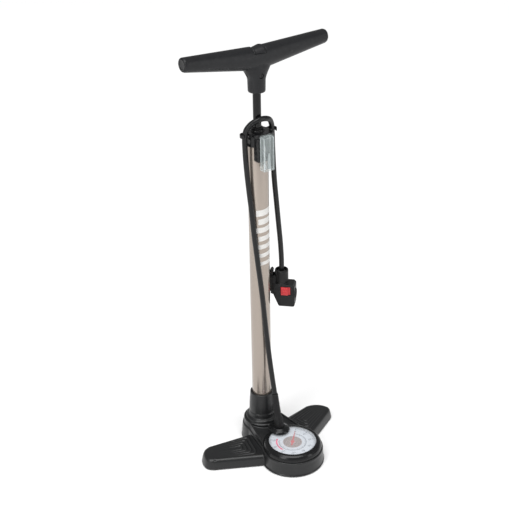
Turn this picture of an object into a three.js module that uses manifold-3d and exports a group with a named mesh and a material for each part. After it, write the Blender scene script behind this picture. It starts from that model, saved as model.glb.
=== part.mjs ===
// Floor bike pump with a round pressure gauge in its foot.
// Units are millimetres and +Z is up. The origin is on the floor, on the barrel's axis.
// The gauge is at the front (-Y), and the handle and the two foot wings run along X.
import * as THREE from 'three';
import { mergeVertices } from 'three/addons/utils/BufferGeometryUtils.js';
import Module from 'manifold-3d';

const wasm = await Module();
wasm.setup();

// ---------------------------------------------------------------- driving dimensions
const GAP = 0.3;                 // clearance between pieces that touch
const RUN = 0.35;                // clearance around pieces that slide or turn

const BARREL_R = 15;
const BARREL_WALL = 1.5;
const BARREL_BORE_R = BARREL_R - BARREL_WALL;
const BARREL_Z = [51, 506];

const ROD_R = 5.8;
const ROD_WALL = 1.1;
const ROD_Z = [81.9, 604];
const ROD_HOLE_R = ROD_R + RUN;

const SHELL_BOTTOM = 1.2;        // the moulded foot clears the floor by this much
const SOCKET_FLOOR_Z = 49.5;     // the barrel stands in the collar above this
const COLLAR_TOP_Z = 83.5;
const PAD_TOP_Z = 3.5;
const HUB_PAD_R = 14;
const FRONT_PAD_R = 12;
const WING_PAD_R = 10;

const GAUGE_Y = -80;
const FRONT_PAD_Y = -110;
const DRUM_R = 48.8;
const DRUM_TOP_Z = 24;
const GAUGE_WELL_R = 42.4;
const GAUGE_FLOOR_Z = 4.5;
const BEZEL_R = 45;
const DIAL_R = 36.1;
const DIAL_TOP_Z = 30.8;
const LENS_Z = [32.3, 33.7];
const LENS_R = 38.4;
const BEZEL_TOP_Z = 34.6;
const NEEDLE_START_DEG = 45;     // the needle's heading at no pressure

const WING_TOP_Z = 17.5;
const WING_PAD_X = 101;
const WING_PAD_Y = -14;

const TURRET_Y = -46;            // the hose leaves the foot here, over the rim of the gauge
const TURRET_Z = [35, 41.2];
const AIR_CHANNEL_Z = 19.5;
const TURRET_STEM_Y = -31;
const TURRET_STEM_R = 3.4;
const AIR_CHANNEL_R = 3;
const AIR_PIPE_R = 2.6;
const AIR_BORE_R = 1.2;

const HOSE_R = 3.9;
const CAP_SKIRT_R = 17.4;
const CAP_Z = [493.5, 514];
const CAP_FLANGE_Z = 508.5;
const EAR_X = 23;
const EAR_Y = -2.5;
const EAR_R = 7.2;
const HOSE_WAY_R = 5.2;
const WIPER_Z = [516.7, 518.9];

const CASE_X = [-11, 6.4];
const CASE_Y = [-31.4, -21.2];
const CASE_Z = [463, 511.5];
const CASE_WALL = 1.2;
const CASE_LID_TOP_Z = 513.8;
const HOLDER_X = [-13.4, 7.6];
const HOLDER_Y = [-20.6, -9];
const HOLDER_BOTTOM_Z = 474;
const TRINKET_Y = -26.4;
const BALL_NEEDLE_X = -6.4;
const CONE_NOZZLE_X = 0.6;

const NECK_BOTTOM_Z = 569.6;
const HANDLE_HALF = 117.5;
const HANDLE_END_Z = 627.8;       // the height of the bar's ends
const END_CAP_R = 7.8;
const HANDLE_SCREW_Z = 594;

const HEAD_X = 38.5;
const HEAD_Y = -2;
const HEAD_TURN_DEG = -45;       // the valve mouth points forwards and to the right
const HEAD_Z = [227.5, 264];
const HEAD_SOCKET_TOP_Z = 286;
const PORT_Z = 246;
const PORT_X = 21;
const LEVER_PIVOT = [-13.8, 251];
const SWITCH_AT = [5.8, 253.4];
const SWITCH_HALF_HEIGHT = 6.6;
const LEVER_PIN_R = 1.5;
const LEVER_HALF_WIDTH = 5;

// The hose's centreline, from the tip of its boot, up past the barrel, through the left
// hook, over in front of the rod, through the right hook and down to the pump head.
const HOSE_ROUTE = [
  [-1.9, -37, 97.6],
  [-1.7, -31.6, 120],
  [-2.2, -26, 150],
  [-3.6, -21.8, 185],
  [-5.2, -19.4, 215],
  [-7.7, -18.1, 250],
  [-10.9, -16.3, 288],
  [-14, -13.8, 325],
  [-16.3, -10.9, 360],
  [-18.1, -7.7, 400],
  [-19.8, -4.6, 432],
  [-21.3, -2.3, 463],
  [-22.4, -1.6, 489],
  [-23.1, -2.7, 509],
  [-21.4, -4, 519.4],
  [-15.6, -7.8, 528],
  [-8, -10.6, 532],
  [0, -11.4, 533.2],
  [8, -10.6, 532],
  [15.6, -7.8, 528],
  [21.4, -4, 519.4],
  [23.1, -2.7, 509],
  [23.8, -2.6, 485],
  [26, -2.5, 440],
  [29.6, -2.5, 400],
  [33.4, -2.3, 362],
  [36.6, -2.1, 330],
  [38.3, -2, 303],
  [38.5, -2, 284.2],
];
const HOSE_STEPS = 56;
const HOSE_SIDES = 8;

// ---------------------------------------------------------------- materials
function finish(color, roughness, metalness = 0, opacity = 1) {
  return new THREE.MeshStandardMaterial({
    color, roughness, metalness, opacity, transparent: opacity < 1,
  });
}

const BLACK_PLASTIC = finish(0x1b1c1e, 0.45);
const SATIN_BLACK = finish(0x222325, 0.6);
const BLACK_RUBBER = finish(0x161617, 0.85);
const CHAMPAGNE_PAINT = finish(0xb9aea2, 0.35, 0.6);
const BLACK_STEEL = finish(0x141415, 0.25, 0.5);
const STEEL = finish(0x9a9c9e, 0.35, 1);
const BRASS = finish(0xb08d4c, 0.35, 1);
const RED_PLASTIC = finish(0xd8282c, 0.4);
const DIAL_WHITE = finish(0xf2f1ec, 0.6);
const CLEAR_PLASTIC = finish(0xe6eef0, 0.08, 0, 0.35);
const WHITE_NYLON = finish(0xe4e2da, 0.5);

// ---------------------------------------------------------------- shape helpers
function signedVolume(geometry) {
  const position = geometry.attributes.position;
  const index = geometry.index;
  const a = new THREE.Vector3();
  const b = new THREE.Vector3();
  const c = new THREE.Vector3();
  let sum = 0;
  for (let i = 0; i < index.count; i += 3) {
    a.fromBufferAttribute(position, index.getX(i));
    b.fromBufferAttribute(position, index.getX(i + 1));
    c.fromBufferAttribute(position, index.getX(i + 2));
    sum += a.dot(b.cross(c));
  }
  return sum / 6;
}

// A copy that shares its vertices, has no empty triangles and faces outwards.
function tidy(geometry) {
  const bare = geometry.index ? geometry.toNonIndexed() : geometry.clone();
  bare.deleteAttribute('normal');
  bare.deleteAttribute('uv');
  const merged = mergeVertices(bare, 1e-3);
  const kept = [];
  const index = merged.index;
  for (let i = 0; i < index.count; i += 3) {
    const [a, b, c] = [index.getX(i), index.getX(i + 1), index.getX(i + 2)];
    if (a !== b && b !== c && c !== a) {
      kept.push(a, b, c);
    }
  }
  merged.setIndex(kept);
  if (signedVolume(merged) < 0) {
    for (let i = 0; i < kept.length; i += 3) {
      [kept[i], kept[i + 1]] = [kept[i + 1], kept[i]];
    }
    merged.setIndex(kept);
  }
  return merged;
}

function solid(geometry) {
  const shape = tidy(geometry);
  return new wasm.Manifold(new wasm.Mesh({
    numProp: 3,
    vertProperties: new Float32Array(shape.attributes.position.array),
    triVerts: new Uint32Array(shape.index.array),
  }));
}

function joined(...geometries) {
  return geometries.slice(1).reduce((sum, next) => sum.add(solid(next)), solid(geometries[0]));
}

function cut(body, ...geometries) {
  return geometries.reduce((rest, next) => rest.subtract(solid(next)), body);
}

function fromManifold(body) {
  const raw = body.getMesh();
  const geometry = new THREE.BufferGeometry();
  geometry.setAttribute('position', new THREE.BufferAttribute(new Float32Array(raw.vertProperties), 3));
  geometry.setIndex(new THREE.BufferAttribute(new Uint32Array(raw.triVerts), 1));
  return geometry;
}

// A body turned about Z from [radius, z] points that start and end on the axis or close up.
function turned(profile, segments = 32) {
  const points = profile.map(([r, z]) => new THREE.Vector2(r, z));
  const geometry = new THREE.LatheGeometry(points, segments);
  geometry.rotateX(Math.PI / 2);
  return tidy(geometry);
}

function disc(r, z0, z1, segments = 32) {
  return turned([[0, z0], [r, z0], [r, z1], [0, z1]], segments);
}

function ring(inner, outer, z0, z1, segments = 32) {
  return turned([[inner, z0], [outer, z0], [outer, z1], [inner, z1], [inner, z0]], segments);
}

function box(x, y, z) {
  const geometry = new THREE.BoxGeometry(x[1] - x[0], y[1] - y[0], z[1] - z[0]);
  geometry.translate((x[0] + x[1]) / 2, (y[0] + y[1]) / 2, (z[0] + z[1]) / 2);
  return geometry;
}

// A flat outline of [x, y] points raised from z0 to z1.
function plate(outline, z0, z1) {
  const shape = new THREE.Shape(outline.map(([x, y]) => new THREE.Vector2(x, y)));
  const geometry = new THREE.ExtrudeGeometry(shape, { depth: z1 - z0, bevelEnabled: false });
  geometry.translate(0, 0, z0);
  return geometry;
}

// An outline of [x, z] points made thick along Y.
function slab(outline, y0, y1) {
  const geometry = plate(outline, -y1, -y0);
  geometry.rotateX(Math.PI / 2);
  return geometry;
}

function arc(cx, cy, r, fromDeg, toDeg, steps) {
  const points = [];
  for (let i = 0; i <= steps; i += 1) {
    const angle = THREE.MathUtils.degToRad(fromDeg + (toDeg - fromDeg) * (i / steps));
    points.push([cx + r * Math.cos(angle), cy + r * Math.sin(angle)]);
  }
  return points;
}

// A rectangle with round corners.
function roundRect(x, y, r, steps = 3) {
  return [
    ...arc(x[1] - r, y[1] - r, r, 0, 90, steps),
    ...arc(x[0] + r, y[1] - r, r, 90, 180, steps),
    ...arc(x[0] + r, y[0] + r, r, 180, 270, steps),
    ...arc(x[1] - r, y[0] + r, r, 270, 360, steps),
  ];
}

// A convex outline moved inwards by a distance (outline runs anticlockwise).
function inset(outline, distance) {
  const count = outline.length;
  return outline.map(([x, y], i) => {
    const [px, py] = outline[(i + count - 1) % count];
    const [nx, ny] = outline[(i + 1) % count];
    const before = new THREE.Vector2(x - px, y - py).normalize();
    const after = new THREE.Vector2(nx - x, ny - y).normalize();
    const normal = new THREE.Vector2(-before.y - after.y, before.x + after.x).normalize();
    const reach = distance / Math.max(0.35, normal.dot(new THREE.Vector2(-after.y, after.x)));
    return [x + normal.x * reach, y + normal.y * reach];
  });
}

// A closed body skinned over convex rings of equally many [x, y, z] points.
function skinned(rings) {
  const count = rings[0].length;
  const positions = rings.flat(2);
  const index = [];
  for (let k = 0; k + 1 < rings.length; k += 1) {
    for (let i = 0; i < count; i += 1) {
      const a = k * count + i;
      const b = k * count + ((i + 1) % count);
      index.push(a, b, b + count, a, b + count, a + count);
    }
  }
  [0, rings.length - 1].forEach((k) => {
    const start = k * count;
    for (let i = 1; i + 1 < count; i += 1) {
      const pair = k === 0 ? [start + i + 1, start + i] : [start + i, start + i + 1];
      index.push(start, ...pair);
    }
  });
  const geometry = new THREE.BufferGeometry();
  geometry.setAttribute('position', new THREE.Float32BufferAttribute(positions, 3));
  geometry.setIndex(index);
  return tidy(geometry);
}

// An outline with drafted sides: levels are [z, distance moved inwards].
function drafted(outline, levels) {
  return skinned(levels.map(([z, d]) => inset(outline, d).map(([x, y]) => [x, y, z])));
}

function tube(points, r, sides, steps, curveType = 'centripetal') {
  const path = new THREE.CatmullRomCurve3(
    points.map(([x, y, z]) => new THREE.Vector3(x, y, z)), false, curveType,
  );
  const outline = arc(0, 0, r, 0, 360, sides).slice(0, -1);
  const section = new THREE.Shape(outline.map(([x, y]) => new THREE.Vector2(x, y)));
  return new THREE.ExtrudeGeometry(section, { steps, extrudePath: path, bevelEnabled: false });
}

function moved(geometry, x, y, z) {
  return geometry.translate(x, y, z);
}

// A body turned about Z, laid down along +X from x = 0.
function laidAlongX(geometry) {
  return geometry.rotateY(Math.PI / 2);
}

const pump = new THREE.Group();

function piece(name, shape, material, parent = pump) {
  const geometry = shape instanceof THREE.BufferGeometry ? tidy(shape) : fromManifold(shape);
  const mesh = new THREE.Mesh(geometry, material.clone());
  mesh.name = name;
  parent.add(mesh);
  return mesh;
}

// ---------------------------------------------------------------- foot
// The wings' footprints: each tip has a front and a back curve, given by corner and end.
const WING_LINES = {
  right: { root: [40, -72.4], tip: [110, -35.4], curves: [120, -30, 118.5, -21, 112, 0.5, 88, 3.8] },
  left: { root: [40, -74.4], tip: [112, -36.4], curves: [124.5, -30, 123, -19, 119.5, 5.5, 99, 6.2] },
};

function wingOutline(side) {
  const { root, tip, curves } = side > 0 ? WING_LINES.right : WING_LINES.left;
  const shape = new THREE.Shape();
  shape.moveTo(10, -44);
  shape.lineTo(...root);
  shape.lineTo(...tip);
  shape.quadraticCurveTo(...curves.slice(0, 4));
  shape.quadraticCurveTo(...curves.slice(4));
  shape.lineTo(8, -9);
  const points = shape.getPoints(5).map(({ x, y }) => [side * x, y]);
  return side > 0 ? points : points.reverse();
}

// The keyhole around the collar and the gauge, with straight walls tangent to both.
function keyholeOutline(collarR, drumR) {
  const lean = THREE.MathUtils.radToDeg(Math.asin((drumR - collarR) / -GAUGE_Y));
  return [
    ...arc(0, 0, collarR, -lean, 180 + lean, 12),
    ...arc(0, GAUGE_Y, drumR, 180 + lean, 360 - lean, 16),
  ];
}

function baseShell() {
  const collar = turned([
    [0, SHELL_BOTTOM], [34, SHELL_BOTTOM], [30, 15], [27.6, 26], [26.4, 36], [24.6, 39.5],
    [21.2, 41], [20.8, 49], [19.6, 64], [17.7, COLLAR_TOP_Z], [0, COLLAR_TOP_Z],
  ], 32);
  const drum = moved(turned([
    [0, SHELL_BOTTOM], [DRUM_R, SHELL_BOTTOM], [47.2, 12], [46.2, 22], [45.4, DRUM_TOP_Z],
    [0, DRUM_TOP_Z],
  ], 40), 0, GAUGE_Y, 0);
  const keyhole = drafted(keyholeOutline(31, 47), [[SHELL_BOTTOM, 0], [30, 3.4], [32.6, 6]]);
  const wingLevels = [[SHELL_BOTTOM, 0], [11, 1.8], [15.4, 3], [WING_TOP_Z, 5.4]];
  const wings = [-1, 1].map((side) => drafted(wingOutline(side), wingLevels));
  const body = joined(collar, drum, keyhole, ...wings);

  const pockets = [-1, 1].map((side) => drafted(
    roundRect(side > 0 ? [52, 84] : [-84, -52], [-44, -9], 6), [[0, 0], [6.5, 1]],
  ));
  const padSeats = [
    ...[-1, 1].map((side) => moved(
      disc(WING_PAD_R + GAP, 0, PAD_TOP_Z + GAP, 20), side * WING_PAD_X, WING_PAD_Y, 0,
    )),
    disc(HUB_PAD_R + GAP, 0, PAD_TOP_Z + GAP, 28),
    moved(disc(FRONT_PAD_R + GAP, 0, PAD_TOP_Z + GAP, 24), 0, FRONT_PAD_Y, 0),
  ];
  const channel = laidAlongX(disc(AIR_CHANNEL_R, 0, 50, 12)).rotateZ(-Math.PI / 2);
  return cut(
    body,
    disc(BARREL_R + GAP, SOCKET_FLOOR_Z, COLLAR_TOP_Z + 1, 32),
    disc(9.4, 16, SOCKET_FLOOR_Z + 1, 28),
    moved(disc(BEZEL_R + GAP + 0.15, DRUM_TOP_Z, 60, 40), 0, GAUGE_Y, 0),
    moved(disc(GAUGE_WELL_R + 0.1, GAUGE_FLOOR_Z - GAP, 60, 40), 0, GAUGE_Y, 0),
    moved(channel, 0, 0, AIR_CHANNEL_Z),
    moved(disc(TURRET_STEM_R + GAP, AIR_CHANNEL_Z - 1, 60, 16), 0, TURRET_STEM_Y, 0),
    ...pockets,
    ...padSeats,
  );
}

piece('base_shell', baseShell(), BLACK_PLASTIC);
piece('hub_pad', disc(HUB_PAD_R, 0, PAD_TOP_Z, 28), BLACK_RUBBER);
piece('front_pad', moved(disc(FRONT_PAD_R, 0, PAD_TOP_Z, 24), 0, FRONT_PAD_Y, 0), BLACK_RUBBER);
[['left_pad', -1], ['right_pad', 1]].forEach(([name, side]) => {
  const pad = disc(WING_PAD_R, 0, PAD_TOP_Z, 20);
  piece(name, moved(pad, side * WING_PAD_X, WING_PAD_Y, 0), BLACK_RUBBER);
});

// ---------------------------------------------------------------- barrel and its valve
piece('barrel', ring(BARREL_BORE_R, BARREL_R, ...BARREL_Z, 32), CHAMPAGNE_PAINT);
piece('barrel_gasket', ring(11, 14.8, SOCKET_FLOOR_Z + GAP, BARREL_Z[0] - GAP, 28), BLACK_RUBBER);
piece('valve_seat', ring(3.2, 9.1, 44.4, 49.2, 24), BRASS);

const VALVE_DISC_Z = [42.1, 44.1];
piece('check_valve_disc', disc(6, ...VALVE_DISC_Z, 20), BLACK_RUBBER);

const SPRING_Z = [17.2, VALVE_DISC_Z[0] - GAP - 0.6];
const SPRING_TURNS = 4;
const SPRING_R = 4;
const WIRE_R = 0.5;
const springPoints = [];
for (let i = 0; i <= SPRING_TURNS * 8; i += 1) {
  const angle = (i / 8) * 2 * Math.PI;
  const z = SPRING_Z[0] + (SPRING_Z[1] - SPRING_Z[0]) * (i / (SPRING_TURNS * 8));
  springPoints.push([SPRING_R * Math.cos(angle), SPRING_R * Math.sin(angle), z]);
}
piece('check_valve_spring', tube(springPoints, WIRE_R, 5, SPRING_TURNS * 9), STEEL);

// ---------------------------------------------------------------- pressure gauge
const gauge = new THREE.Group();
gauge.position.set(0, GAUGE_Y, 0);
pump.add(gauge);

const CASE_CUP_R = GAUGE_WELL_R - GAP;
const CUP_TOP_Z = 29.6;
const CUP_WALL = 1.7;
piece('gauge_case', cut(
  solid(turned([
    [0, GAUGE_FLOOR_Z], [CASE_CUP_R, GAUGE_FLOOR_Z], [CASE_CUP_R, CUP_TOP_Z],
    [CASE_CUP_R - CUP_WALL, CUP_TOP_Z], [CASE_CUP_R - CUP_WALL, 6], [0, 6],
  ], 40)),
  moved(laidAlongX(disc(3.4, 36, 48, 12)).rotateZ(Math.PI / 2), 0, 0, AIR_CHANNEL_Z),
), SATIN_BLACK, gauge);
piece('bourdon_tube', moved(tube(
  arc(0, 0, 30, 95, -150, 12).map(([x, y]) => [x, y, 0]), 3, 8, 22,
), 0, 0, 13), BRASS, gauge);
piece('gauge_inlet', cut(
  joined(
    box([-6, 6], [36, 38.5], [8, 29.4]),
    moved(laidAlongX(disc(AIR_PIPE_R, 38, 44.5, 12)).rotateZ(Math.PI / 2), 0, 0, AIR_CHANNEL_Z),
  ),
  moved(laidAlongX(disc(AIR_BORE_R, 35, 48, 8)).rotateZ(Math.PI / 2), 0, 0, AIR_CHANNEL_Z),
), BRASS, gauge);
const PINION_R = 2;
const SPINDLE_R = 1.2;
const PIVOT_HOLE_R = 1.6;
const NEEDLE_REACH = 27;
const NEEDLE_TAIL = 9;
const SECTOR_PIVOT_X = 20;
const SECTOR_REACH = SECTOR_PIVOT_X - PINION_R - GAP;
piece('movement_plate', cut(
  solid(box([-24, 24], [-8, 8], [16, 17.6])),
  disc(PIVOT_HOLE_R, 10, 20, 12),
  moved(disc(PIVOT_HOLE_R, 10, 20, 12), SECTOR_PIVOT_X, 0, 0),
), BRASS, gauge);

const sectorOutline = [
  ...arc(SECTOR_PIVOT_X, 0, SECTOR_REACH, 146, 192, 8),
  ...arc(SECTOR_PIVOT_X, 0, 2.2, 260, 460, 6),
];
piece('sector_gear', joined(
  plate(sectorOutline, 19, 20.6),
  moved(disc(1.3, 14.6, 20.6, 12), SECTOR_PIVOT_X, 0, 0),
), BRASS, gauge);
piece('needle_spindle', joined(
  disc(SPINDLE_R, 14, 30.6, 12), disc(PINION_R, 18.8, 20.8, 16),
), STEEL, gauge);
piece('dial', cut(
  solid(disc(DIAL_R + 3, DIAL_TOP_Z - 0.9, DIAL_TOP_Z, 40)),
  disc(PIVOT_HOLE_R, 20, 40, 12),
), DIAL_WHITE, gauge);
const needleHeading = THREE.MathUtils.degToRad(NEEDLE_START_DEG);
piece('needle', joined(
  disc(3.4, DIAL_TOP_Z + GAP, DIAL_TOP_Z + 1.1, 20),
  plate([
    [-NEEDLE_TAIL, -1.2], [0, -1.7], [NEEDLE_REACH, -0.35], [NEEDLE_REACH, 0.35], [0, 1.7],
    [-NEEDLE_TAIL, 1.2],
  ], DIAL_TOP_Z + GAP, DIAL_TOP_Z + 0.9).rotateZ(needleHeading),
), RED_PLASTIC, gauge);
piece('lens', disc(LENS_R, ...LENS_Z, 40), CLEAR_PLASTIC, gauge);
piece('bezel', turned([
  [LENS_R + GAP, LENS_Z[0] - 0.5], [LENS_R + GAP, LENS_Z[1] + GAP],
  [DIAL_R + 0.2, LENS_Z[1] + GAP], [DIAL_R + 0.2, BEZEL_TOP_Z], [39, BEZEL_TOP_Z],
  [43.2, 31.6], [BEZEL_R, 26.6], [BEZEL_R, DRUM_TOP_Z + GAP],
  [CASE_CUP_R + GAP, DRUM_TOP_Z + GAP],
  [CASE_CUP_R + GAP, 30], [DIAL_R + 3.4, 30], [DIAL_R + 3.4, LENS_Z[0] - 0.5],
  [LENS_R + GAP, LENS_Z[0] - 0.5],
], 36), BLACK_PLASTIC, gauge);

// ---------------------------------------------------------------- hose and its fittings
piece('hose_turret', joined(
  moved(turned([
    [0, TURRET_Z[0]], [14.2, TURRET_Z[0]], [14.2, 39], [12.4, TURRET_Z[1]], [0, TURRET_Z[1]],
  ], 28), 0, TURRET_Y, 0),
  box([-5, 5], [TURRET_Y, -27.2], [TURRET_Z[0], 39.4]),
  moved(disc(TURRET_STEM_R, AIR_CHANNEL_Z + 1, TURRET_Z[1] - 2, 16), 0, TURRET_STEM_Y, 0),
), BLACK_PLASTIC);

// The boot is a cone that leans back along the hose's first direction.
const bootFoot = new THREE.Vector3(0, TURRET_Y, TURRET_Z[1] + GAP);
const bootTip = new THREE.Vector3(...HOSE_ROUTE[0]);
const bootLean = bootTip.clone().sub(bootFoot);
const bootLength = bootLean.length() - 2 * GAP;
const boot = turned([
  [0, 0], [7.2, 0], [7, 14], [5.7, 18], [5.3, 30], [4.9, bootLength], [0, bootLength],
], 20);
boot.applyQuaternion(new THREE.Quaternion().setFromUnitVectors(
  new THREE.Vector3(0, 0, 1), bootLean.normalize(),
));
const belowBoot = box([-20, 20], [-70, -20], [30, bootFoot.z]);
piece('hose_boot', cut(solid(moved(boot, ...bootFoot.toArray())), belowBoot), BLACK_RUBBER);
piece('hose', tube(HOSE_ROUTE, HOSE_R, HOSE_SIDES, HOSE_STEPS), BLACK_RUBBER);

// ---------------------------------------------------------------- top cap and rod guide
function hook(side) {
  const x = side * EAR_X;
  const height = [CAP_FLANGE_Z, CAP_Z[1]];
  const outer = moved(disc(EAR_R, ...height, 20), x, EAR_Y, 0);
  const bridge = box(side > 0 ? [12, x] : [x, -12], [EAR_Y - 6, EAR_Y + 6], height);
  return joined(outer, bridge);
}

function topCap() {
  const skirt = disc(CAP_SKIRT_R, ...CAP_Z, 28);
  const flange = plate(roundRect([-15.5, 15.5], [-20.6, 14], 6), CAP_FLANGE_Z, CAP_Z[1]);
  const lip = turned([[0, 513], [10, 513], [9.4, 516.4], [0, 516.4]], 24);
  const body = joined(skirt, flange, lip).add(hook(-1)).add(hook(1));
  const hoseWays = [-1, 1].map((side) => joined(
    moved(disc(HOSE_WAY_R, 500, 520, 20), side * EAR_X, EAR_Y, 0),
    box([side * EAR_X - 4.4, side * EAR_X + 4.4], [EAR_Y - 12, EAR_Y], [500, 520]),
  ));
  const windows = [-1, 1].map((side) => box(
    side > 0 ? [16.1, 19] : [-19, -16.1], [-5.4, 5.4], [497, 504],
  ));
  return cut(
    body,
    disc(BARREL_R + GAP, 480, BARREL_Z[1] + GAP, 28),
    disc(ROD_HOLE_R + 0.3, 500, 520, 24),
    ...windows,
  ).subtract(hoseWays[0]).subtract(hoseWays[1]);
}

piece('top_cap', topCap(), BLACK_PLASTIC);
piece('rod_guide', ring(ROD_HOLE_R, BARREL_BORE_R - GAP, 490, BARREL_Z[1] - 0.5, 28), WHITE_NYLON);
piece('rod_wiper', ring(ROD_HOLE_R, 8.2, ...WIPER_Z, 24), BLACK_RUBBER);

// ---------------------------------------------------------------- adapter case
piece('case_holder', cut(
  solid(box(HOLDER_X, HOLDER_Y, [HOLDER_BOTTOM_Z, CAP_FLANGE_Z - GAP])),
  disc(BARREL_R + GAP, 470, 494, 36),
  disc(CAP_SKIRT_R + GAP, 493.2, 520, 36),
), SATIN_BLACK);
piece('adapter_case', cut(
  solid(box(CASE_X, CASE_Y, CASE_Z)),
  box(
    [CASE_X[0] + CASE_WALL, CASE_X[1] - CASE_WALL],
    [CASE_Y[0] + CASE_WALL, CASE_Y[1] - CASE_WALL],
    [CASE_Z[0] + CASE_WALL, CASE_Z[1] + 1],
  ),
), CLEAR_PLASTIC);
piece('case_lid', box(CASE_X, CASE_Y, [CASE_Z[1] + GAP, CASE_LID_TOP_Z]), CLEAR_PLASTIC);
const TRINKET_Z = CASE_Z[0] + CASE_WALL + GAP;
piece('ball_needle', moved(turned([
  [0, 0], [2.2, 0], [2.2, 9], [0.8, 10.5], [0.8, 34], [0, 34.6],
], 12), BALL_NEEDLE_X, TRINKET_Y, TRINKET_Z), STEEL);
piece('cone_nozzle', moved(turned([
  [0, 0], [2.6, 0], [2.6, 8], [2.2, 9], [1.2, 22], [0, 22.4],
], 12), CONE_NOZZLE_X, TRINKET_Y, TRINKET_Z), WHITE_NYLON);

// ---------------------------------------------------------------- plunger
piece('piston', turned([
  [ROD_HOLE_R, 82.2], [12.4, 82.2], [13.1, 84], [13.1, 86], [9.6, 86], [9.6, 92.4],
  [13.1, 92.4], [13.1, 98], [12, 100], [ROD_HOLE_R, 100], [ROD_HOLE_R, 82.2],
], 24), WHITE_NYLON);
piece('piston_cup', turned([
  [9.9, 86.3], [12.6, 86.3], [13.2, 92.1], [12, 92.1], [11.4, 88.4], [9.9, 88.4], [9.9, 86.3],
], 24), BLACK_RUBBER);
piece('piston_bumper', ring(ROD_HOLE_R, 11.4, 100.3, 104.4, 24), BLACK_RUBBER);

const rod = turned([
  [0, 76], [3, 76], [3, ROD_Z[0]], [ROD_R, ROD_Z[0]], [ROD_R, ROD_Z[1]],
  [ROD_R - ROD_WALL, ROD_Z[1]], [ROD_R - ROD_WALL, ROD_Z[0] + 12], [0, ROD_Z[0] + 12],
], 24);
piece('piston_rod', rod, BLACK_STEEL);
piece('piston_nut', cut(solid(disc(6.6, 77, 81.6, 6)), disc(3.4, 70, 90, 16)), STEEL);

// ---------------------------------------------------------------- handle
// Height of the bar's upper and lower edges, and its depth, at a distance from the middle.
function barRing(x) {
  const t = Math.abs(x) / HANDLE_HALF;
  const top = 633 + 4.6 * t;
  const bottom = 601 + 17 * Math.max(0, (t - 0.1) / 0.9);
  const depth = 14 - 4.2 * t;
  return arc(0, 0, 1, 0, 360, 20).slice(0, -1).map(([y, z]) => [
    x, depth * y, (top + bottom) / 2 + ((top - bottom) / 2) * z,
  ]);
}

function neckRing([z, rx, ry]) {
  return arc(0, 0, 1, 0, 360, 24).slice(0, -1).map(([x, y]) => [rx * x, ry * y, z]);
}

function handleCore() {
  const bar = skinned([-1, -0.5, -0.15, 0, 0.15, 0.5, 1].map((t) => barRing(t * HANDLE_HALF)));
  const neck = skinned([
    [NECK_BOTTOM_Z, 12, 12], [571, 12.3, 12.3], [587, 12.6, 12.6], [596, 16.6, 13], [604, 22, 13],
    [614, 24, 12],
  ].map(neckRing));
  const endSeats = [-1, 1].map((side) => moved(
    laidAlongX(disc(END_CAP_R + GAP, 0, 6, 20)), side > 0 ? HANDLE_HALF - 4 : -HANDLE_HALF - 2,
    0, HANDLE_END_Z,
  ));
  const screwHole = laidAlongX(disc(3.6, 9.2, 16, 16)).rotateZ(-Math.PI / 2);
  const screwBore = laidAlongX(disc(2.2, 4, 16, 12)).rotateZ(-Math.PI / 2);
  return cut(
    joined(bar, neck),
    disc(ROD_R + GAP, NECK_BOTTOM_Z - 1, ROD_Z[1] + GAP, 24),
    ...endSeats,
    moved(screwHole, 0, 0, HANDLE_SCREW_Z),
    moved(screwBore, 0, 0, HANDLE_SCREW_Z),
    box([-10.3, 10.3], [-8.3, 8.3], [630, 640]),
  );
}

piece('handle', handleCore(), SATIN_BLACK);
[['left_end_cap', -1], ['right_end_cap', 1]].forEach(([name, side]) => {
  const x = side > 0 ? HANDLE_HALF - 3.7 : -HANDLE_HALF + 0.4;
  piece(name, moved(laidAlongX(disc(END_CAP_R, 0, 3.3, 20)), x, 0, HANDLE_END_Z), BLACK_PLASTIC);
});
piece('handle_badge', plate(roundRect([-10, 10], [-8, 8], 2), 630.3, 635), BLACK_PLASTIC);
const screw = turned([[0, 6.4], [1.9, 6.4], [1.9, 9.5], [3.3, 9.5], [3.3, 11.6], [0, 11.6]], 16);
piece('handle_screw', moved(
  laidAlongX(screw).rotateZ(-Math.PI / 2), 0, 0, HANDLE_SCREW_Z,
), STEEL);

// ---------------------------------------------------------------- pump head
// The head's own frame: its valve mouth points along +X, its switch along -Y.
const head = new THREE.Group();
head.position.set(HEAD_X, HEAD_Y, 0);
head.rotation.z = THREE.MathUtils.degToRad(HEAD_TURN_DEG);
pump.add(head);

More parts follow.
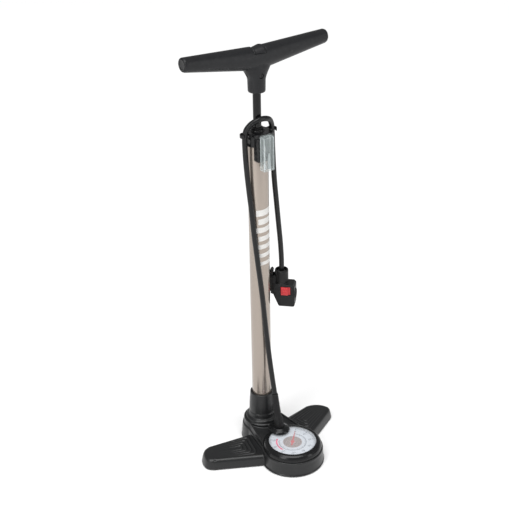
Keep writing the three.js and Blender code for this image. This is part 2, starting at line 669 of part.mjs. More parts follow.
function headBody() {
  const sides = [
    [-11.2, HEAD_Z[1]], [-11.2, 246], [-4, 228.9], [-2.5, HEAD_Z[0]], [19, HEAD_Z[0]],
    [PORT_X, 229.5], [PORT_X, 260.5], [18, HEAD_Z[1]],
  ];
  const block = slab(sides, -10.5, 10.5);
  const socket = turned([
    [0, 254], [10.2, 254], [10.2, HEAD_SOCKET_TOP_Z - 1], [9.4, HEAD_SOCKET_TOP_Z],
    [0, HEAD_SOCKET_TOP_Z],
  ], 24);
  const ears = slab([
    [-15.8, 247.6], [-15.8, 254.4], [-10, 257], [-10, 245],
  ], -8.6, 8.6);
  const cheeks = slab([[-15, 253], [-8, 253], [-8, 277], [-12.4, 277], [-15, 273]], -8.2, 8.2);
  const leverRoom = box([-20, -11.1], [-5.6, 5.6], [239, 290]);
  const heelRoom = box([-20, -9.6], [-5.6, 5.6], [245.5, 256]);
  const pinHole = slab(arc(...LEVER_PIVOT, LEVER_PIN_R + GAP, 0, 360, 12).slice(0, -1), -9, 9);
  return cut(
    joined(block, socket, ears, cheeks),
    leverRoom,
    heelRoom,
    pinHole,
    moved(laidAlongX(disc(7.3, 4, 30, 24)), 0, 0, PORT_Z),
    disc(7.6, 279.6, 300, 24),
    box(
      [SWITCH_AT[0] - 6, SWITCH_AT[0] + 13.2], [-14, -8.2],
      [SWITCH_AT[1] - SWITCH_HALF_HEIGHT - 0.4, SWITCH_AT[1] + SWITCH_HALF_HEIGHT + 0.4],
    ),
  );
}

piece('head_body', headBody(), BLACK_PLASTIC, head);
piece('valve_gasket', moved(laidAlongX(ring(4.2, 7, 5, 12.6, 20)), 0, 0, PORT_Z), BLACK_RUBBER, head);
piece('port_ring', moved(laidAlongX(turned([
  [5.2, 12.9], [7, 12.9], [7, PORT_X + GAP], [8.6, PORT_X + GAP], [8.2, PORT_X + 1.1],
  [7, PORT_X + 1.1], [5.2, 15.6], [5.2, 12.9],
], 24)), 0, 0, PORT_Z), BLACK_PLASTIC, head);
piece('hose_nut', turned([
  [0, 279.9], [7.2, 279.9], [7.2, 282.4], [5.4, 283.9], [0, 283.9],
], 6), STEEL, head);
const SWITCH_Z = [SWITCH_AT[1] - SWITCH_HALF_HEIGHT, SWITCH_AT[1] + SWITCH_HALF_HEIGHT];
piece('selector_switch', joined(
  box([SWITCH_AT[0] - 5.6, SWITCH_AT[0] + 5.4], [-11.8, -9], SWITCH_Z),
  box([SWITCH_AT[0] - 5.6, SWITCH_AT[0] + 8.4], [-9.3, -8.5], SWITCH_Z),
), RED_PLASTIC, head);

function headLever() {
  const outline = [
    [-12, 247.8], [-12, 255], [-12.8, 259], [-12.8, 279.5], [-12.2, 283.5], [-14.6, 286.4],
    [-17.4, 284.4], [-17.6, 251], [-15.8, 247.8],
  ];
  const pinHole = slab(arc(...LEVER_PIVOT, LEVER_PIN_R + RUN, 0, 360, 12).slice(0, -1), -9, 9);
  return cut(solid(slab(outline, -LEVER_HALF_WIDTH, LEVER_HALF_WIDTH)), pinHole);
}

piece('head_lever', headLever(), SATIN_BLACK, head);
const pinOutline = arc(...LEVER_PIVOT, LEVER_PIN_R, 0, 360, 12).slice(0, -1);
piece('lever_pin', slab(pinOutline, -8.4, 8.4), STEEL, head);

export default pump;
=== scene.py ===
"""The looks of the floor bike pump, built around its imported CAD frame.

The frame is in metres. Shape helpers take millimetres and scale by MM as they make a mesh.
"""

import math

import bmesh
import bpy
from mathutils import Matrix, Vector


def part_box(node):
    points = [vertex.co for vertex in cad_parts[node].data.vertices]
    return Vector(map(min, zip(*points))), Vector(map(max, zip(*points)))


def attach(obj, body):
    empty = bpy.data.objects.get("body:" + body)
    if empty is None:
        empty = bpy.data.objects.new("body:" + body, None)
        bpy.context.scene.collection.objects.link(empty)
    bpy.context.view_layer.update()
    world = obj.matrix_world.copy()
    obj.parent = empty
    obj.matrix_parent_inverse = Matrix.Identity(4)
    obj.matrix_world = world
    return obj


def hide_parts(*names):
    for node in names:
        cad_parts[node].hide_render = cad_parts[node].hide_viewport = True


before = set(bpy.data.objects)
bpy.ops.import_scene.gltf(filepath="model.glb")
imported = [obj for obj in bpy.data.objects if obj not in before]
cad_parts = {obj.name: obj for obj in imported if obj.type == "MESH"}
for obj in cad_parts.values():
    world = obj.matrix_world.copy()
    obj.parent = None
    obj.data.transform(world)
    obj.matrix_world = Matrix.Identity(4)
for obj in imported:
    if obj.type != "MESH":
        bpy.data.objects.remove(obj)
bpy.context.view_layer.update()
MM = 0.001


def added(name, data):
    """A new object that holds the data, in the scene."""
    obj = bpy.data.objects.new(name, data)
    bpy.context.scene.collection.objects.link(obj)
    return obj


# ---------------- camera
CAMERA_AT = Vector((-0.806, -1.161, 1.025))
CAMERA_AZIMUTH = math.radians(-34.47)
CAMERA_PITCH = math.radians(26.49)
CAMERA_ROLL = math.radians(-1.14)
CAMERA_LENS = 75.96
CAMERA_CLIP = 0.05


def make_camera():
    right = Vector((math.cos(CAMERA_AZIMUTH), math.sin(CAMERA_AZIMUTH), 0))
    ahead = Vector((-math.sin(CAMERA_AZIMUTH), math.cos(CAMERA_AZIMUTH), 0))
    back = -ahead * math.cos(CAMERA_PITCH) + Vector((0, 0, math.sin(CAMERA_PITCH)))
    up = back.cross(right)
    right_rolled = right * math.cos(CAMERA_ROLL) + up * math.sin(CAMERA_ROLL)
    up_rolled = up * math.cos(CAMERA_ROLL) - right * math.sin(CAMERA_ROLL)
    camera = added("camera", bpy.data.cameras.new("camera"))
    camera.data.lens = CAMERA_LENS
    camera.data.clip_start = CAMERA_CLIP
    turn = Matrix((right_rolled, up_rolled, back)).transposed().to_4x4()
    camera.matrix_world = Matrix.Translation(CAMERA_AT) @ turn
    bpy.context.scene.camera = camera


make_camera()


# ---------------- places from the frame
class Place:
    """A CAD node's box, in millimetres."""

    def __init__(self, node):
        low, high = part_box(node)
        self.x0, self.y0, self.z0 = (value / MM for value in low)
        self.x1, self.y1, self.z1 = (value / MM for value in high)
        self.x = (self.x0 + self.x1) / 2
        self.y = (self.y0 + self.y1) / 2
        self.r = (self.x1 - self.x0) / 2


# ---------------- outlines
def arc(cx, cy, r, start, end, steps):
    """Points on a circle between two angles in degrees."""
    angles = [math.radians(start + (end - start) * i / steps) for i in range(steps + 1)]
    return [(cx + r * math.cos(a), cy + r * math.sin(a)) for a in angles]


def bend(p0, p1, p2, steps):
    """A quadratic curve, without its first point."""
    points = []
    for i in range(1, steps + 1):
        t = i / steps
        points.append(tuple(
            (1 - t) ** 2 * a + 2 * t * (1 - t) * b + t * t * c for a, b, c in zip(p0, p1, p2)
        ))
    return points


def round_rect(x, y, r, steps=6):
    """A rectangle with round corners, anticlockwise."""
    return (
        arc(x[1] - r, y[1] - r, r, 0, 90, steps)
        + arc(x[0] + r, y[1] - r, r, 90, 180, steps)
        + arc(x[0] + r, y[0] + r, r, 180, 270, steps)
        + arc(x[1] - r, y[0] + r, r, 270, 360, steps)
    )


def inset(outline, distance):
    """A convex anticlockwise outline moved inwards."""
    moved = []
    for i, here in enumerate(outline):
        before = (Vector(here) - Vector(outline[i - 1])).normalized()
        after = (Vector(outline[(i + 1) % len(outline)]) - Vector(here)).normalized()
        normal = Vector((-before.y - after.y, before.x + after.x)).normalized()
        reach = distance / max(0.35, normal.dot(Vector((-after.y, after.x))))
        moved.append(tuple(Vector(here) + normal * reach))
    return moved


def softened(points, radius, steps=4, closed=False):
    """A line of points with an arc at each corner."""
    result = []
    count = len(points)
    for i, here in enumerate(points):
        if not closed and i in (0, count - 1):
            result.append(tuple(here))
            continue
        corner = Vector(here)
        back = Vector(points[i - 1]) - corner
        ahead = Vector(points[(i + 1) % count]) - corner
        turn = math.pi - back.angle(ahead, 0)
        if turn < 0.02:
            result.append(tuple(here))
            continue
        reach = min(radius * math.tan(turn / 2), 0.45 * back.length, 0.45 * ahead.length)
        start = corner + back.normalized() * reach
        end = corner + ahead.normalized() * reach
        result.append(tuple(start))
        result.extend(bend(tuple(start), tuple(corner), tuple(end), steps))
    return result


def smooth_line(points, steps):
    """A centripetal Catmull-Rom curve through the points, cut into equal parameter steps."""
    knots = [Vector(p) for p in points]
    ends = [knots[0] * 2 - knots[1], *knots, knots[-1] * 2 - knots[-2]]
    result = []
    spans = len(points) - 1
    for i in range(steps + 1):
        at = min(spans * i / steps, spans - 1e-9)
        k = int(at)
        p = ends[k:k + 4]
        g0, g1, g2 = [max((b - a).length ** 0.5, 1e-9) for a, b in zip(p, p[1:])]
        m1 = ((p[1] - p[0]) / g0 - (p[2] - p[0]) / (g0 + g1) + (p[2] - p[1]) / g1) * g1
        m2 = ((p[2] - p[1]) / g1 - (p[3] - p[1]) / (g1 + g2) + (p[3] - p[2]) / g2) * g1
        t = at - k
        result.append(
            p[1] * (2 * t ** 3 - 3 * t * t + 1) + m1 * (t ** 3 - 2 * t * t + t)
            + p[2] * (3 * t * t - 2 * t ** 3) + m2 * (t ** 3 - t * t)
        )
    return result


# ---------------- meshes
def from_faces(name, vertices, faces):
    mesh = bpy.data.meshes.new(name)
    mesh.from_pydata([[c * MM for c in v] for v in vertices], [], faces)
    body = bmesh.new()
    body.from_mesh(mesh)
    bmesh.ops.remove_doubles(body, verts=body.verts, dist=1e-7)
    bmesh.ops.recalc_face_normals(body, faces=body.faces)
    body.to_mesh(mesh)
    body.free()
    return added(name, mesh)


def smooth(obj, angle=35):
    obj.data.shade_smooth()
    obj.data.set_sharp_from_angle(angle=math.radians(angle))
    return obj


def lofted(name, rings):
    """A closed body through rings of equally many [x, y, z] points."""
    count = len(rings[0])
    vertices = [point for ring in rings for point in ring]
    faces = []
    for k in range(len(rings) - 1):
        for i in range(count):
            a, b = k * count + i, k * count + (i + 1) % count
            faces.append((a, b, b + count, a + count))
    faces.append(tuple(reversed(range(count))))
    faces.append(tuple(range((len(rings) - 1) * count, len(rings) * count)))
    return from_faces(name, vertices, faces)


def drafted(name, outline, levels):
    """An outline raised through [z, distance inwards] levels."""
    return lofted(name, [[(x, y, z) for x, y in inset(outline, d)] for z, d in levels])


def turned(name, profile, x=0.0, y=0.0, z=0.0, segments=96):
    """A body turned about Z from (radius, z) points, on the axis at both ends or closed."""
    closed = profile[0][0] > 1e-6
    vertices = []
    rings = []
    for r, height in profile:
        if r < 1e-6:
            rings.append([len(vertices)] * segments)
            vertices.append((x, y, z + height))
            continue
        rings.append([len(vertices) + i for i in range(segments)])
        for i in range(segments):
            angle = 2 * math.pi * i / segments
            vertices.append((x + r * math.cos(angle), y + r * math.sin(angle), z + height))
    uppers = rings[1:] + rings[:1] if closed else rings[1:]
    faces = []
    for low, high in zip(rings, uppers):
        for i in range(segments):
            j = (i + 1) % segments
            face = tuple(dict.fromkeys([low[i], low[j], high[j], high[i]]))
            if len(face) > 2:
                faces.append(face)
    return from_faces(name, vertices, faces)


def cylinder(r, z0, z1, x=0.0, y=0.0, segments=96):
    return turned("tool", [(0, z0), (r, z0), (r, z1), (0, z1)], x, y, segments=segments)


def ring_profile(inner, outer, z0, z1, edge):
    """The section of a ring with softened edges."""
    return softened([(inner, z0), (outer, z0), (outer, z1), (inner, z1)], edge, 3, closed=True)


def disc_profile(r, z0, z1, edge, steps=4):
    return softened([(0, z0), (r, z0), (r, z1), (0, z1)], edge, steps)


def beveled(obj, width, segments=3, least_angle=20):
    """Rounds the edges that turn more than an angle."""
    if width <= 0:
        return obj
    body = bmesh.new()
    body.from_mesh(obj.data)
    least = math.radians(least_angle)
    edges = [e for e in body.edges if len(e.link_faces) == 2 and e.calc_face_angle(0) > least]
    bmesh.ops.bevel(
        body, geom=edges, offset=width * MM, segments=segments, profile=0.5,
        affect="EDGES", clamp_overlap=True,
    )
    body.to_mesh(obj.data)
    body.free()
    return obj


def plate(name, outline, z0, z1, edge=0.0):
    """An [x, y] outline raised from z0 to z1."""
    rings = [[(x, y, z) for x, y in outline] for z in (z0, z1)]
    return beveled(lofted(name, rings), edge)


def block(name, x, y, z, edge=0.0):
    outline = [(x[0], y[0]), (x[1], y[0]), (x[1], y[1]), (x[0], y[1])]
    return plate(name, outline, z[0], z[1], edge)


def slab(name, outline, y0, y1, edge=0.0):
    """An [x, z] outline made thick along Y."""
    rings = [[(x, y, z) for x, z in outline] for y in (y0, y1)]
    return beveled(lofted(name, rings), edge)


def swept(name, points, section):
    """A closed body along points. The section gives [across, up] points at each fraction."""
    path = [Vector(p) for p in points]
    rings = []
    for i, here in enumerate(path):
        along = (path[min(i + 1, len(path) - 1)] - path[max(i - 1, 0)]).normalized()
        across = along.cross(Vector((0, 0, 1)))
        across = across.normalized() if across.length > 1e-4 else Vector((1, 0, 0))
        up = across.cross(along)
        rings.append([tuple(here + across * a + up * b) for a, b in section(i / (len(path) - 1))])
    return lofted(name, rings)


def circle_section(r, sides=16):
    return lambda fraction: arc(0, 0, r, 0, 360, sides)[:-1]


def shift(x, y, z):
    return Matrix.Translation(Vector((x, y, z)) * MM)


def moved(obj, matrix):
    obj.data.transform(matrix)
    return obj


def settled(obj):
    """Applies the object's modifiers to its mesh."""
    depsgraph = bpy.context.evaluated_depsgraph_get()
    mesh = bpy.data.meshes.new_from_object(obj.evaluated_get(depsgraph))
    old = obj.data
    obj.modifiers.clear()
    obj.data = mesh
    mesh.name = obj.name
    bpy.data.meshes.remove(old)
    return obj


def combined(obj, tools, operation):
    for tool in tools:
        step = obj.modifiers.new("boolean", "BOOLEAN")
        step.operation = operation
        step.solver = "MANIFOLD"
        step.object = tool
        settled(obj)
        bpy.data.objects.remove(tool)
    return obj


def joined(obj, *tools):
    return combined(obj, tools, "UNION")


def cut(obj, *tools):
    return combined(obj, tools, "DIFFERENCE")


def moulded(obj, voxel, rounds, keep):
    """Remeshes a body as one skin whose corners are softly rounded, as in a moulding."""
    remesh = obj.modifiers.new("remesh", "REMESH")
    remesh.mode = "VOXEL"
    remesh.voxel_size = voxel * MM
    blur = obj.modifiers.new("blur", "SMOOTH")
    blur.factor = 0.5
    blur.iterations = rounds
    thin = obj.modifiers.new("thin", "DECIMATE")
    thin.ratio = keep
    settled(obj)
    obj.data.shade_smooth()
    return obj


def merged(name, objects):
    """One object that holds the meshes of several."""
    body = bmesh.new()
    for obj in objects:
        body.from_mesh(obj.data)
    mesh = bpy.data.meshes.new(name)
    body.to_mesh(mesh)
    body.free()
    result = added(name, mesh)
    for obj in objects:
        bpy.data.objects.remove(obj)
    return result


# ---------------- materials
# A colour mix node's sockets.
MIX_FACTOR, MIX_A, MIX_B, MIX_RESULT = 0, 6, 7, 2
# The lighter colour on sharp edges: partly wear, partly a painted highlight.
EDGE_WEAR_AND_HIGHLIGHT_COLOUR = (0.16, 0.16, 0.165)
# The pointiness at which an edge starts to be lightened, as wear and as a painted highlight, and at
# which it is lightened fully.
EDGE_WEAR_AND_HIGHLIGHT_FROM, EDGE_WEAR_AND_HIGHLIGHT_TO = 0.52, 0.6
COAT_ROUGHNESS = 0.12
BUMP_STRENGTH = 0.6


def assign(made, **inputs):
    """Sets a node's sockets by name, with _ for a space."""
    for key, value in inputs.items():
        made.inputs[key.replace("_", " ")].default_value = value
    return made


def node(tree, kind, **inputs):
    return assign(tree.nodes.new(kind), **inputs)


def spread(tree, source, low, high, from_low=0.3, from_high=0.7):
    """Maps a 0..1 signal onto a range."""
    made = node(
        tree, "ShaderNodeMapRange", From_Min=from_low, From_Max=from_high, To_Min=low, To_Max=high,
    )
    tree.links.new(source, made.inputs["Value"])
    return made.outputs["Result"]


def finish(
    name, colour, roughness, metallic=0.0, grain=2600, grain_height=0.03, stretch=(1, 1, 1),
    mottle=0.12, mottle_scale=70, edge_wear_and_highlight=0.0, coat=0.0, specular=0.5, alpha=1.0, gloss_spread=0.07,
):
    """A procedural finish: fine grain as bump, mottled colour and gloss, and edges lightened as
    wear and as a painted highlight.
    """
    made = bpy.data.materials.new(name)
    made.use_nodes = True
    tree = made.node_tree
    link = tree.links.new
    shader = assign(
        tree.nodes["Principled BSDF"], Metallic=metallic, Specular_IOR_Level=specular,
        Coat_Weight=coat, Coat_Roughness=COAT_ROUGHNESS, Alpha=alpha,
    )

    place = node(tree, "ShaderNodeTexCoord").outputs["Object"]
    mapping = node(tree, "ShaderNodeMapping", Scale=stretch)
    link(place, mapping.inputs["Vector"])

    cloud = node(tree, "ShaderNodeTexNoise", Scale=mottle_scale, Detail=4.0, Roughness=0.6)
    fine = node(tree, "ShaderNodeTexNoise", Scale=grain, Detail=2.0, Roughness=0.5)
    smear = node(tree, "ShaderNodeTexNoise", Scale=mottle_scale * 3.1, Detail=3.0, Roughness=0.6)
    for noise in (cloud, fine, smear):
        link(mapping.outputs["Vector"], noise.inputs["Vector"])

    mix = node(tree, "ShaderNodeMix")
    mix.data_type = "RGBA"
    mix.inputs[MIX_A].default_value = (*[c * (1 - mottle) for c in colour], 1)
    mix.inputs[MIX_B].default_value = (*[min(1, c * (1 + mottle)) for c in colour], 1)
    link(spread(tree, cloud.outputs["Fac"], 0, 1), mix.inputs[MIX_FACTOR])
    tint = mix.outputs[MIX_RESULT]
    # Sharp edges are lightened in patches: partly wear, partly a painted highlight.
    if edge_wear_and_highlight:
        point = node(tree, "ShaderNodeNewGeometry").outputs["Pointiness"]
        edge = spread(tree, point, 0, edge_wear_and_highlight, EDGE_WEAR_AND_HIGHLIGHT_FROM, EDGE_WEAR_AND_HIGHLIGHT_TO)
        patchy = node(tree, "ShaderNodeMath")
        patchy.operation = "MULTIPLY"
        link(edge, patchy.inputs[0])
        link(spread(tree, smear.outputs["Fac"], 0.35, 1), patchy.inputs[1])
        worn_and_highlighted = node(tree, "ShaderNodeMix")
        worn_and_highlighted.data_type = "RGBA"
        worn_and_highlighted.inputs[MIX_B].default_value = (*EDGE_WEAR_AND_HIGHLIGHT_COLOUR, 1)
        link(patchy.outputs[0], worn_and_highlighted.inputs[MIX_FACTOR])
        link(tint, worn_and_highlighted.inputs[MIX_A])
        tint = worn_and_highlighted.outputs[MIX_RESULT]
    link(tint, shader.inputs["Base Color"])

    glossiest, dullest = max(0.02, roughness - gloss_spread), roughness + gloss_spread
    gloss = spread(tree, smear.outputs["Fac"], glossiest, dullest)
    link(gloss, shader.inputs["Roughness"])

    bump = node(tree, "ShaderNodeBump", Strength=BUMP_STRENGTH, Distance=grain_height * MM)
    link(fine.outputs["Fac"], bump.inputs["Height"])
    link(bump.outputs["Normal"], shader.inputs["Normal"])
    return made


FOOT_PLASTIC = finish(
    "foot_plastic", (0.010, 0.0104, 0.011), 0.34, edge_wear_and_highlight=0.35, grain_height=0.035, specular=0.42,
)
TRIM_PLASTIC = finish(
    "trim_plastic", (0.006, 0.0062, 0.0068), 0.26, edge_wear_and_highlight=0.2, grain_height=0.02, specular=0.3,
)
HANDLE_PLASTIC = finish(
    "handle_plastic", (0.009, 0.0094, 0.0108), 0.42, edge_wear_and_highlight=0.25, grain=1900, grain_height=0.06,
    specular=0.3,
)
HEAD_PLASTIC = finish(
    "head_plastic", (0.007, 0.0074, 0.0078), 0.42, edge_wear_and_highlight=0.25, grain_height=0.04, specular=0.28,
)
BLACK_RUBBER = finish(
    "black_rubber", (0.007, 0.007, 0.0075), 0.5, edge_wear_and_highlight=0.2, grain=1500, grain_height=0.06,
    specular=0.28,
)
HOSE_RUBBER = finish(
    "hose_rubber", (0.007, 0.0073, 0.0078), 0.3, grain=1400, grain_height=0.03,
    stretch=(1, 1, 0.25), specular=0.3,
)
BARREL_PAINT = finish(
    "barrel_paint", (0.365, 0.314, 0.272), 0.24, metallic=0.75, grain=5200, grain_height=0.012,
    mottle=0.035, mottle_scale=1400, coat=0.35, gloss_spread=0.04,
)
ROD_STEEL = finish(
    "rod_steel", (0.005, 0.005, 0.0055), 0.14, metallic=0.2, specular=0.4, grain=1800,
    grain_height=0.01, stretch=(1, 1, 0.03), gloss_spread=0.05,
)
STEEL = finish(
    "steel", (0.56, 0.57, 0.58), 0.3, metallic=1.0, grain_height=0.01, stretch=(1, 1, 6),
)
DARK_STEEL = finish(
    "dark_steel", (0.05, 0.05, 0.052), 0.4, metallic=0.8, grain_height=0.01, stretch=(1, 1, 6),
)
BRASS = finish("brass", (0.62, 0.42, 0.16), 0.32, metallic=1.0, grain_height=0.01)
RED_PLASTIC = finish("red_plastic", (0.52, 0.02, 0.026), 0.34, grain_height=0.02, mottle=0.06)
DIAL_WHITE = finish("dial_white", (0.56, 0.59, 0.64), 0.42, grain_height=0.006, mottle=0.03)
DIAL_INK = finish("dial_ink", (0.035, 0.045, 0.075), 0.5, grain_height=0.004)
DIAL_RED = finish("dial_red", (0.72, 0.03, 0.14), 0.45, grain_height=0.004)
DIAL_HUB = finish(
    "dial_hub", (0.36, 0.27, 0.25), 0.3, metallic=0.5, grain=900, grain_height=0.03, mottle=0.25,
    mottle_scale=260,
)
MARK_WHITE = finish("mark_white", (0.68, 0.67, 0.65), 0.4, grain_height=0.006, mottle=0.04)
CLEAR_PLASTIC = finish(
    "clear_plastic", (0.60, 0.67, 0.67), 0.12, alpha=0.12, grain=700, grain_height=0.03,
    mottle=0.05,
)
# Painted highlight: a lighter, more opaque clear plastic for the case's bright edges.
CLEAR_EDGE_HIGHLIGHT = finish(
    "clear_edge_highlight", (0.64, 0.70, 0.70), 0.2, alpha=0.34, grain=700, grain_height=0.02, mottle=0.05,
)
LENS_CLEAR = finish(
    "lens_clear", (0.9, 0.93, 0.95), 0.05, alpha=0.12, grain_height=0.002, mottle=0.02,
)
WHITE_NYLON = finish("white_nylon", (0.74, 0.73, 0.69), 0.42, grain_height=0.02, mottle=0.05)
GREY_NYLON = finish("grey_nylon", (0.36, 0.40, 0.41), 0.42, grain_height=0.02, mottle=0.05)


def piece(obj, material, body, *nodes, slot=None):
    """Gives a piece its finish, its body and the nodes it stands for. The slot argument is not
    used.
    """
    obj.data.materials.clear()
    obj.data.materials.append(material)
    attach(obj, body)
    if nodes:
        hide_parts(*nodes)


# ---------------- hose
# The hose's centreline: from its boot up past the barrel, through the left hook, over in
# front of the rod, through the right hook and down to the pump head.
HOSE_ROUTE = [
    (-0.0019, -0.037, 0.0976), (-0.0017, -0.0316, 0.12), (-0.0022, -0.026, 0.15),
    (-0.0036, -0.0218, 0.185), (-0.0052, -0.0194, 0.215), (-0.0077, -0.0181, 0.25),
    (-0.0109, -0.0163, 0.288), (-0.014, -0.0138, 0.325), (-0.0163, -0.0109, 0.36),
    (-0.0181, -0.0077, 0.4), (-0.0198, -0.0046, 0.432), (-0.0213, -0.0023, 0.463),
    (-0.0224, -0.0016, 0.489), (-0.0231, -0.0027, 0.509), (-0.0214, -0.004, 0.5194),
    (-0.0156, -0.0078, 0.528), (-0.008, -0.0106, 0.532), (0, -0.0114, 0.5332),
    (0.008, -0.0106, 0.532), (0.0156, -0.0078, 0.528), (0.0214, -0.004, 0.5194),
    (0.0231, -0.0027, 0.509), (0.0238, -0.0026, 0.485), (0.026, -0.0025, 0.44),
    (0.0296, -0.0025, 0.4), (0.0334, -0.0023, 0.362), (0.0366, -0.0021, 0.33),
    (0.0383, -0.002, 0.303), (0.0385, -0.002, 0.2842),
]
HOSE_DIAMETER = 0.0078
HOSE_STEPS = 216


def make_hose():
    line = smooth_line(HOSE_ROUTE, HOSE_STEPS)
    curve = bpy.data.curves.new("rubber_hose", "CURVE")
    curve.dimensions = "3D"
    curve.bevel_depth = HOSE_DIAMETER / 2
    curve.bevel_resolution = 8
    curve.use_fill_caps = True
    spline = curve.splines.new("POLY")
    spline.points.add(len(line) - 1)
    for point, at in zip(spline.points, line):
        point.co = (*at, 1)
    hose = added("rubber_hose", curve)
    piece(hose, HOSE_RUBBER, "root", "hose")


make_hose()


# ---------------- foot
BARREL = Place("barrel")
SHELL = Place("base_shell")
BEZEL = Place("bezel")
DIAL = Place("dial")
LENS = Place("lens")
TURRET = Place("hose_turret")
GAUGE_Y = BEZEL.y
COLLAR_TOP = SHELL.z1
FLOOR_GAP = SHELL.z0
BARREL_SEAT_Z = 49.5
DRUM_TOP = 24
STEM_Y = -31
PAD_SEAT_Z = 3.8
WING_TOP = 17.5
RIB_COUNT = 4
RIB_HALF = 1.0
RIB_HEIGHT = 1.25
RIB_SINK = 0.3
LIP_RISE = 12.5
SOCKET_SLACK = 0.25
# The flat of each wing's top: its front and back points at the root and at the tip.
FLAT_ROOT = (Vector((50, -61)), Vector((36, -10)))
FLAT_TIP = {
    1: (Vector((111, -29)), Vector((97, -1))),
    -1: (Vector((111, -29)), Vector((103, -1))),
}


def wing_outline(side):
    if side > 0:
        root, tip, middle, end = (40, -72.4), (110, -35.4), (118.5, -21), (88, 3.8)
        front, back = (120, -30), (112, 0.5)
    else:
        root, tip, middle, end = (40, -74.4), (112, -36.4), (123, -19), (99, 6.2)
        front, back = (124.5, -30), (119.5, 5.5)
    points = [(10, -44), root, tip]
    points += bend(tip, front, middle, 10)
    points += bend(middle, back, end, 12)
    points.append((8, -9))
    points = [(side * x, y) for x, y in points]
    return points if side > 0 else points[::-1]


def on_wing(side, u, v):
    """A point on the wing's top: u runs from root to tip, v from the front to the back."""
    root = FLAT_ROOT[0].lerp(FLAT_ROOT[1], v)
    tip = FLAT_TIP[side][0].lerp(FLAT_TIP[side][1], v)
    at = root.lerp(tip, u)
    return (side * at.x, at.y)


def rib(line):
    """A low rounded bar on the wing's top, lower at its two ends."""
    path = [(x, y, WING_TOP - RIB_SINK) for x, y in line]

    def section(fraction):
        fade = min(1.0, 12 * fraction + 0.25, 12 * (1 - fraction) + 0.25)
        rise = (RIB_HEIGHT + RIB_SINK) * fade
        crown = [(RIB_HALF * c, rise * s - 0.15) for c, s in arc(0, 0, 1, 0, 180, 8)]
        return crown + [(-RIB_HALF, -0.8), (RIB_HALF, -0.8)]

    return swept("rib", path, section)


def wing_ribs(side):
    """Nested U-shaped ribs, open towards the tip."""
    ribs = []
    for k in range(RIB_COUNT):
        near = 0.08 + 0.105 * k
        u0 = 0.02 + 0.085 * k
        reach = 0.95 - 0.015 * k
        corners = [
            on_wing(side, reach, near), on_wing(side, u0, near),
            on_wing(side, u0, 1 - near), on_wing(side, reach, 1 - near),
        ]
        ribs.append(rib(softened(corners, 7 - k, 8)))
    return ribs


def wing(side):
    levels = [
        (FLOOR_GAP, 0.4), (FLOOR_GAP + 0.5, 0), (8, 1.2), (12.4, 2.2), (15, 3.2), (16.6, 4.6),
        (17.3, 6.0), (WING_TOP, 7.4),
    ]
    return drafted("wing", wing_outline(side), levels)


def keyhole(collar_r, drum_r):
    """Two circles, about the collar and about the gauge, and their common tangents."""
    lean = math.degrees(math.asin((drum_r - collar_r) / -GAUGE_Y))
    behind = arc(0, 0, collar_r, -lean, 180 + lean, 32)
    return behind + arc(0, GAUGE_Y, drum_r, 180 + lean, 360 - lean, 48)


def lip_height(y):
    """The wall's top edge climbs from the gauge's rim to the collar."""
    return DRUM_TOP + LIP_RISE * min(1.0, max(0.0, (y - GAUGE_Y) / -GAUGE_Y))


def keyhole_ring(collar_r, drum_r, share, drop=0.0):
    """The keyhole's outline at a share of the way up to the wall's top edge."""
    return [
        (x, y, FLOOR_GAP + (lip_height(y) - FLOOR_GAP) * share - drop)
        for x, y in keyhole(collar_r, drum_r)
    ]


def keyhole_wall():
    """The wall that ties the collar to the gauge, with a raised lip around a sunken deck."""
    wall = lofted("wall", [
        keyhole_ring(*ring) for ring in (
            (33.5, 48, 0), (31.4, 47, 0.66), (31, 46.8, 0.7), (29.4, 46.4, 0.73),
            (28.6, 46.2, 0.93), (29.2, 46.7, 0.95), (28.9, 46.6, 0.985), (28, 46.1, 1),
        )
    ])
    deck = lofted("tool", [
        keyhole_ring(*ring) for ring in ((26.2, 44.6, 1, 3.4), (26.8, 45, 1, 0.4), (27, 45.2, 1.6))
    ])
    cut(wall, deck)
    saddle = block("saddle", (-8, 8), (-40, -18), (15, 34.6), 1.2)
    return joined(wall, saddle)


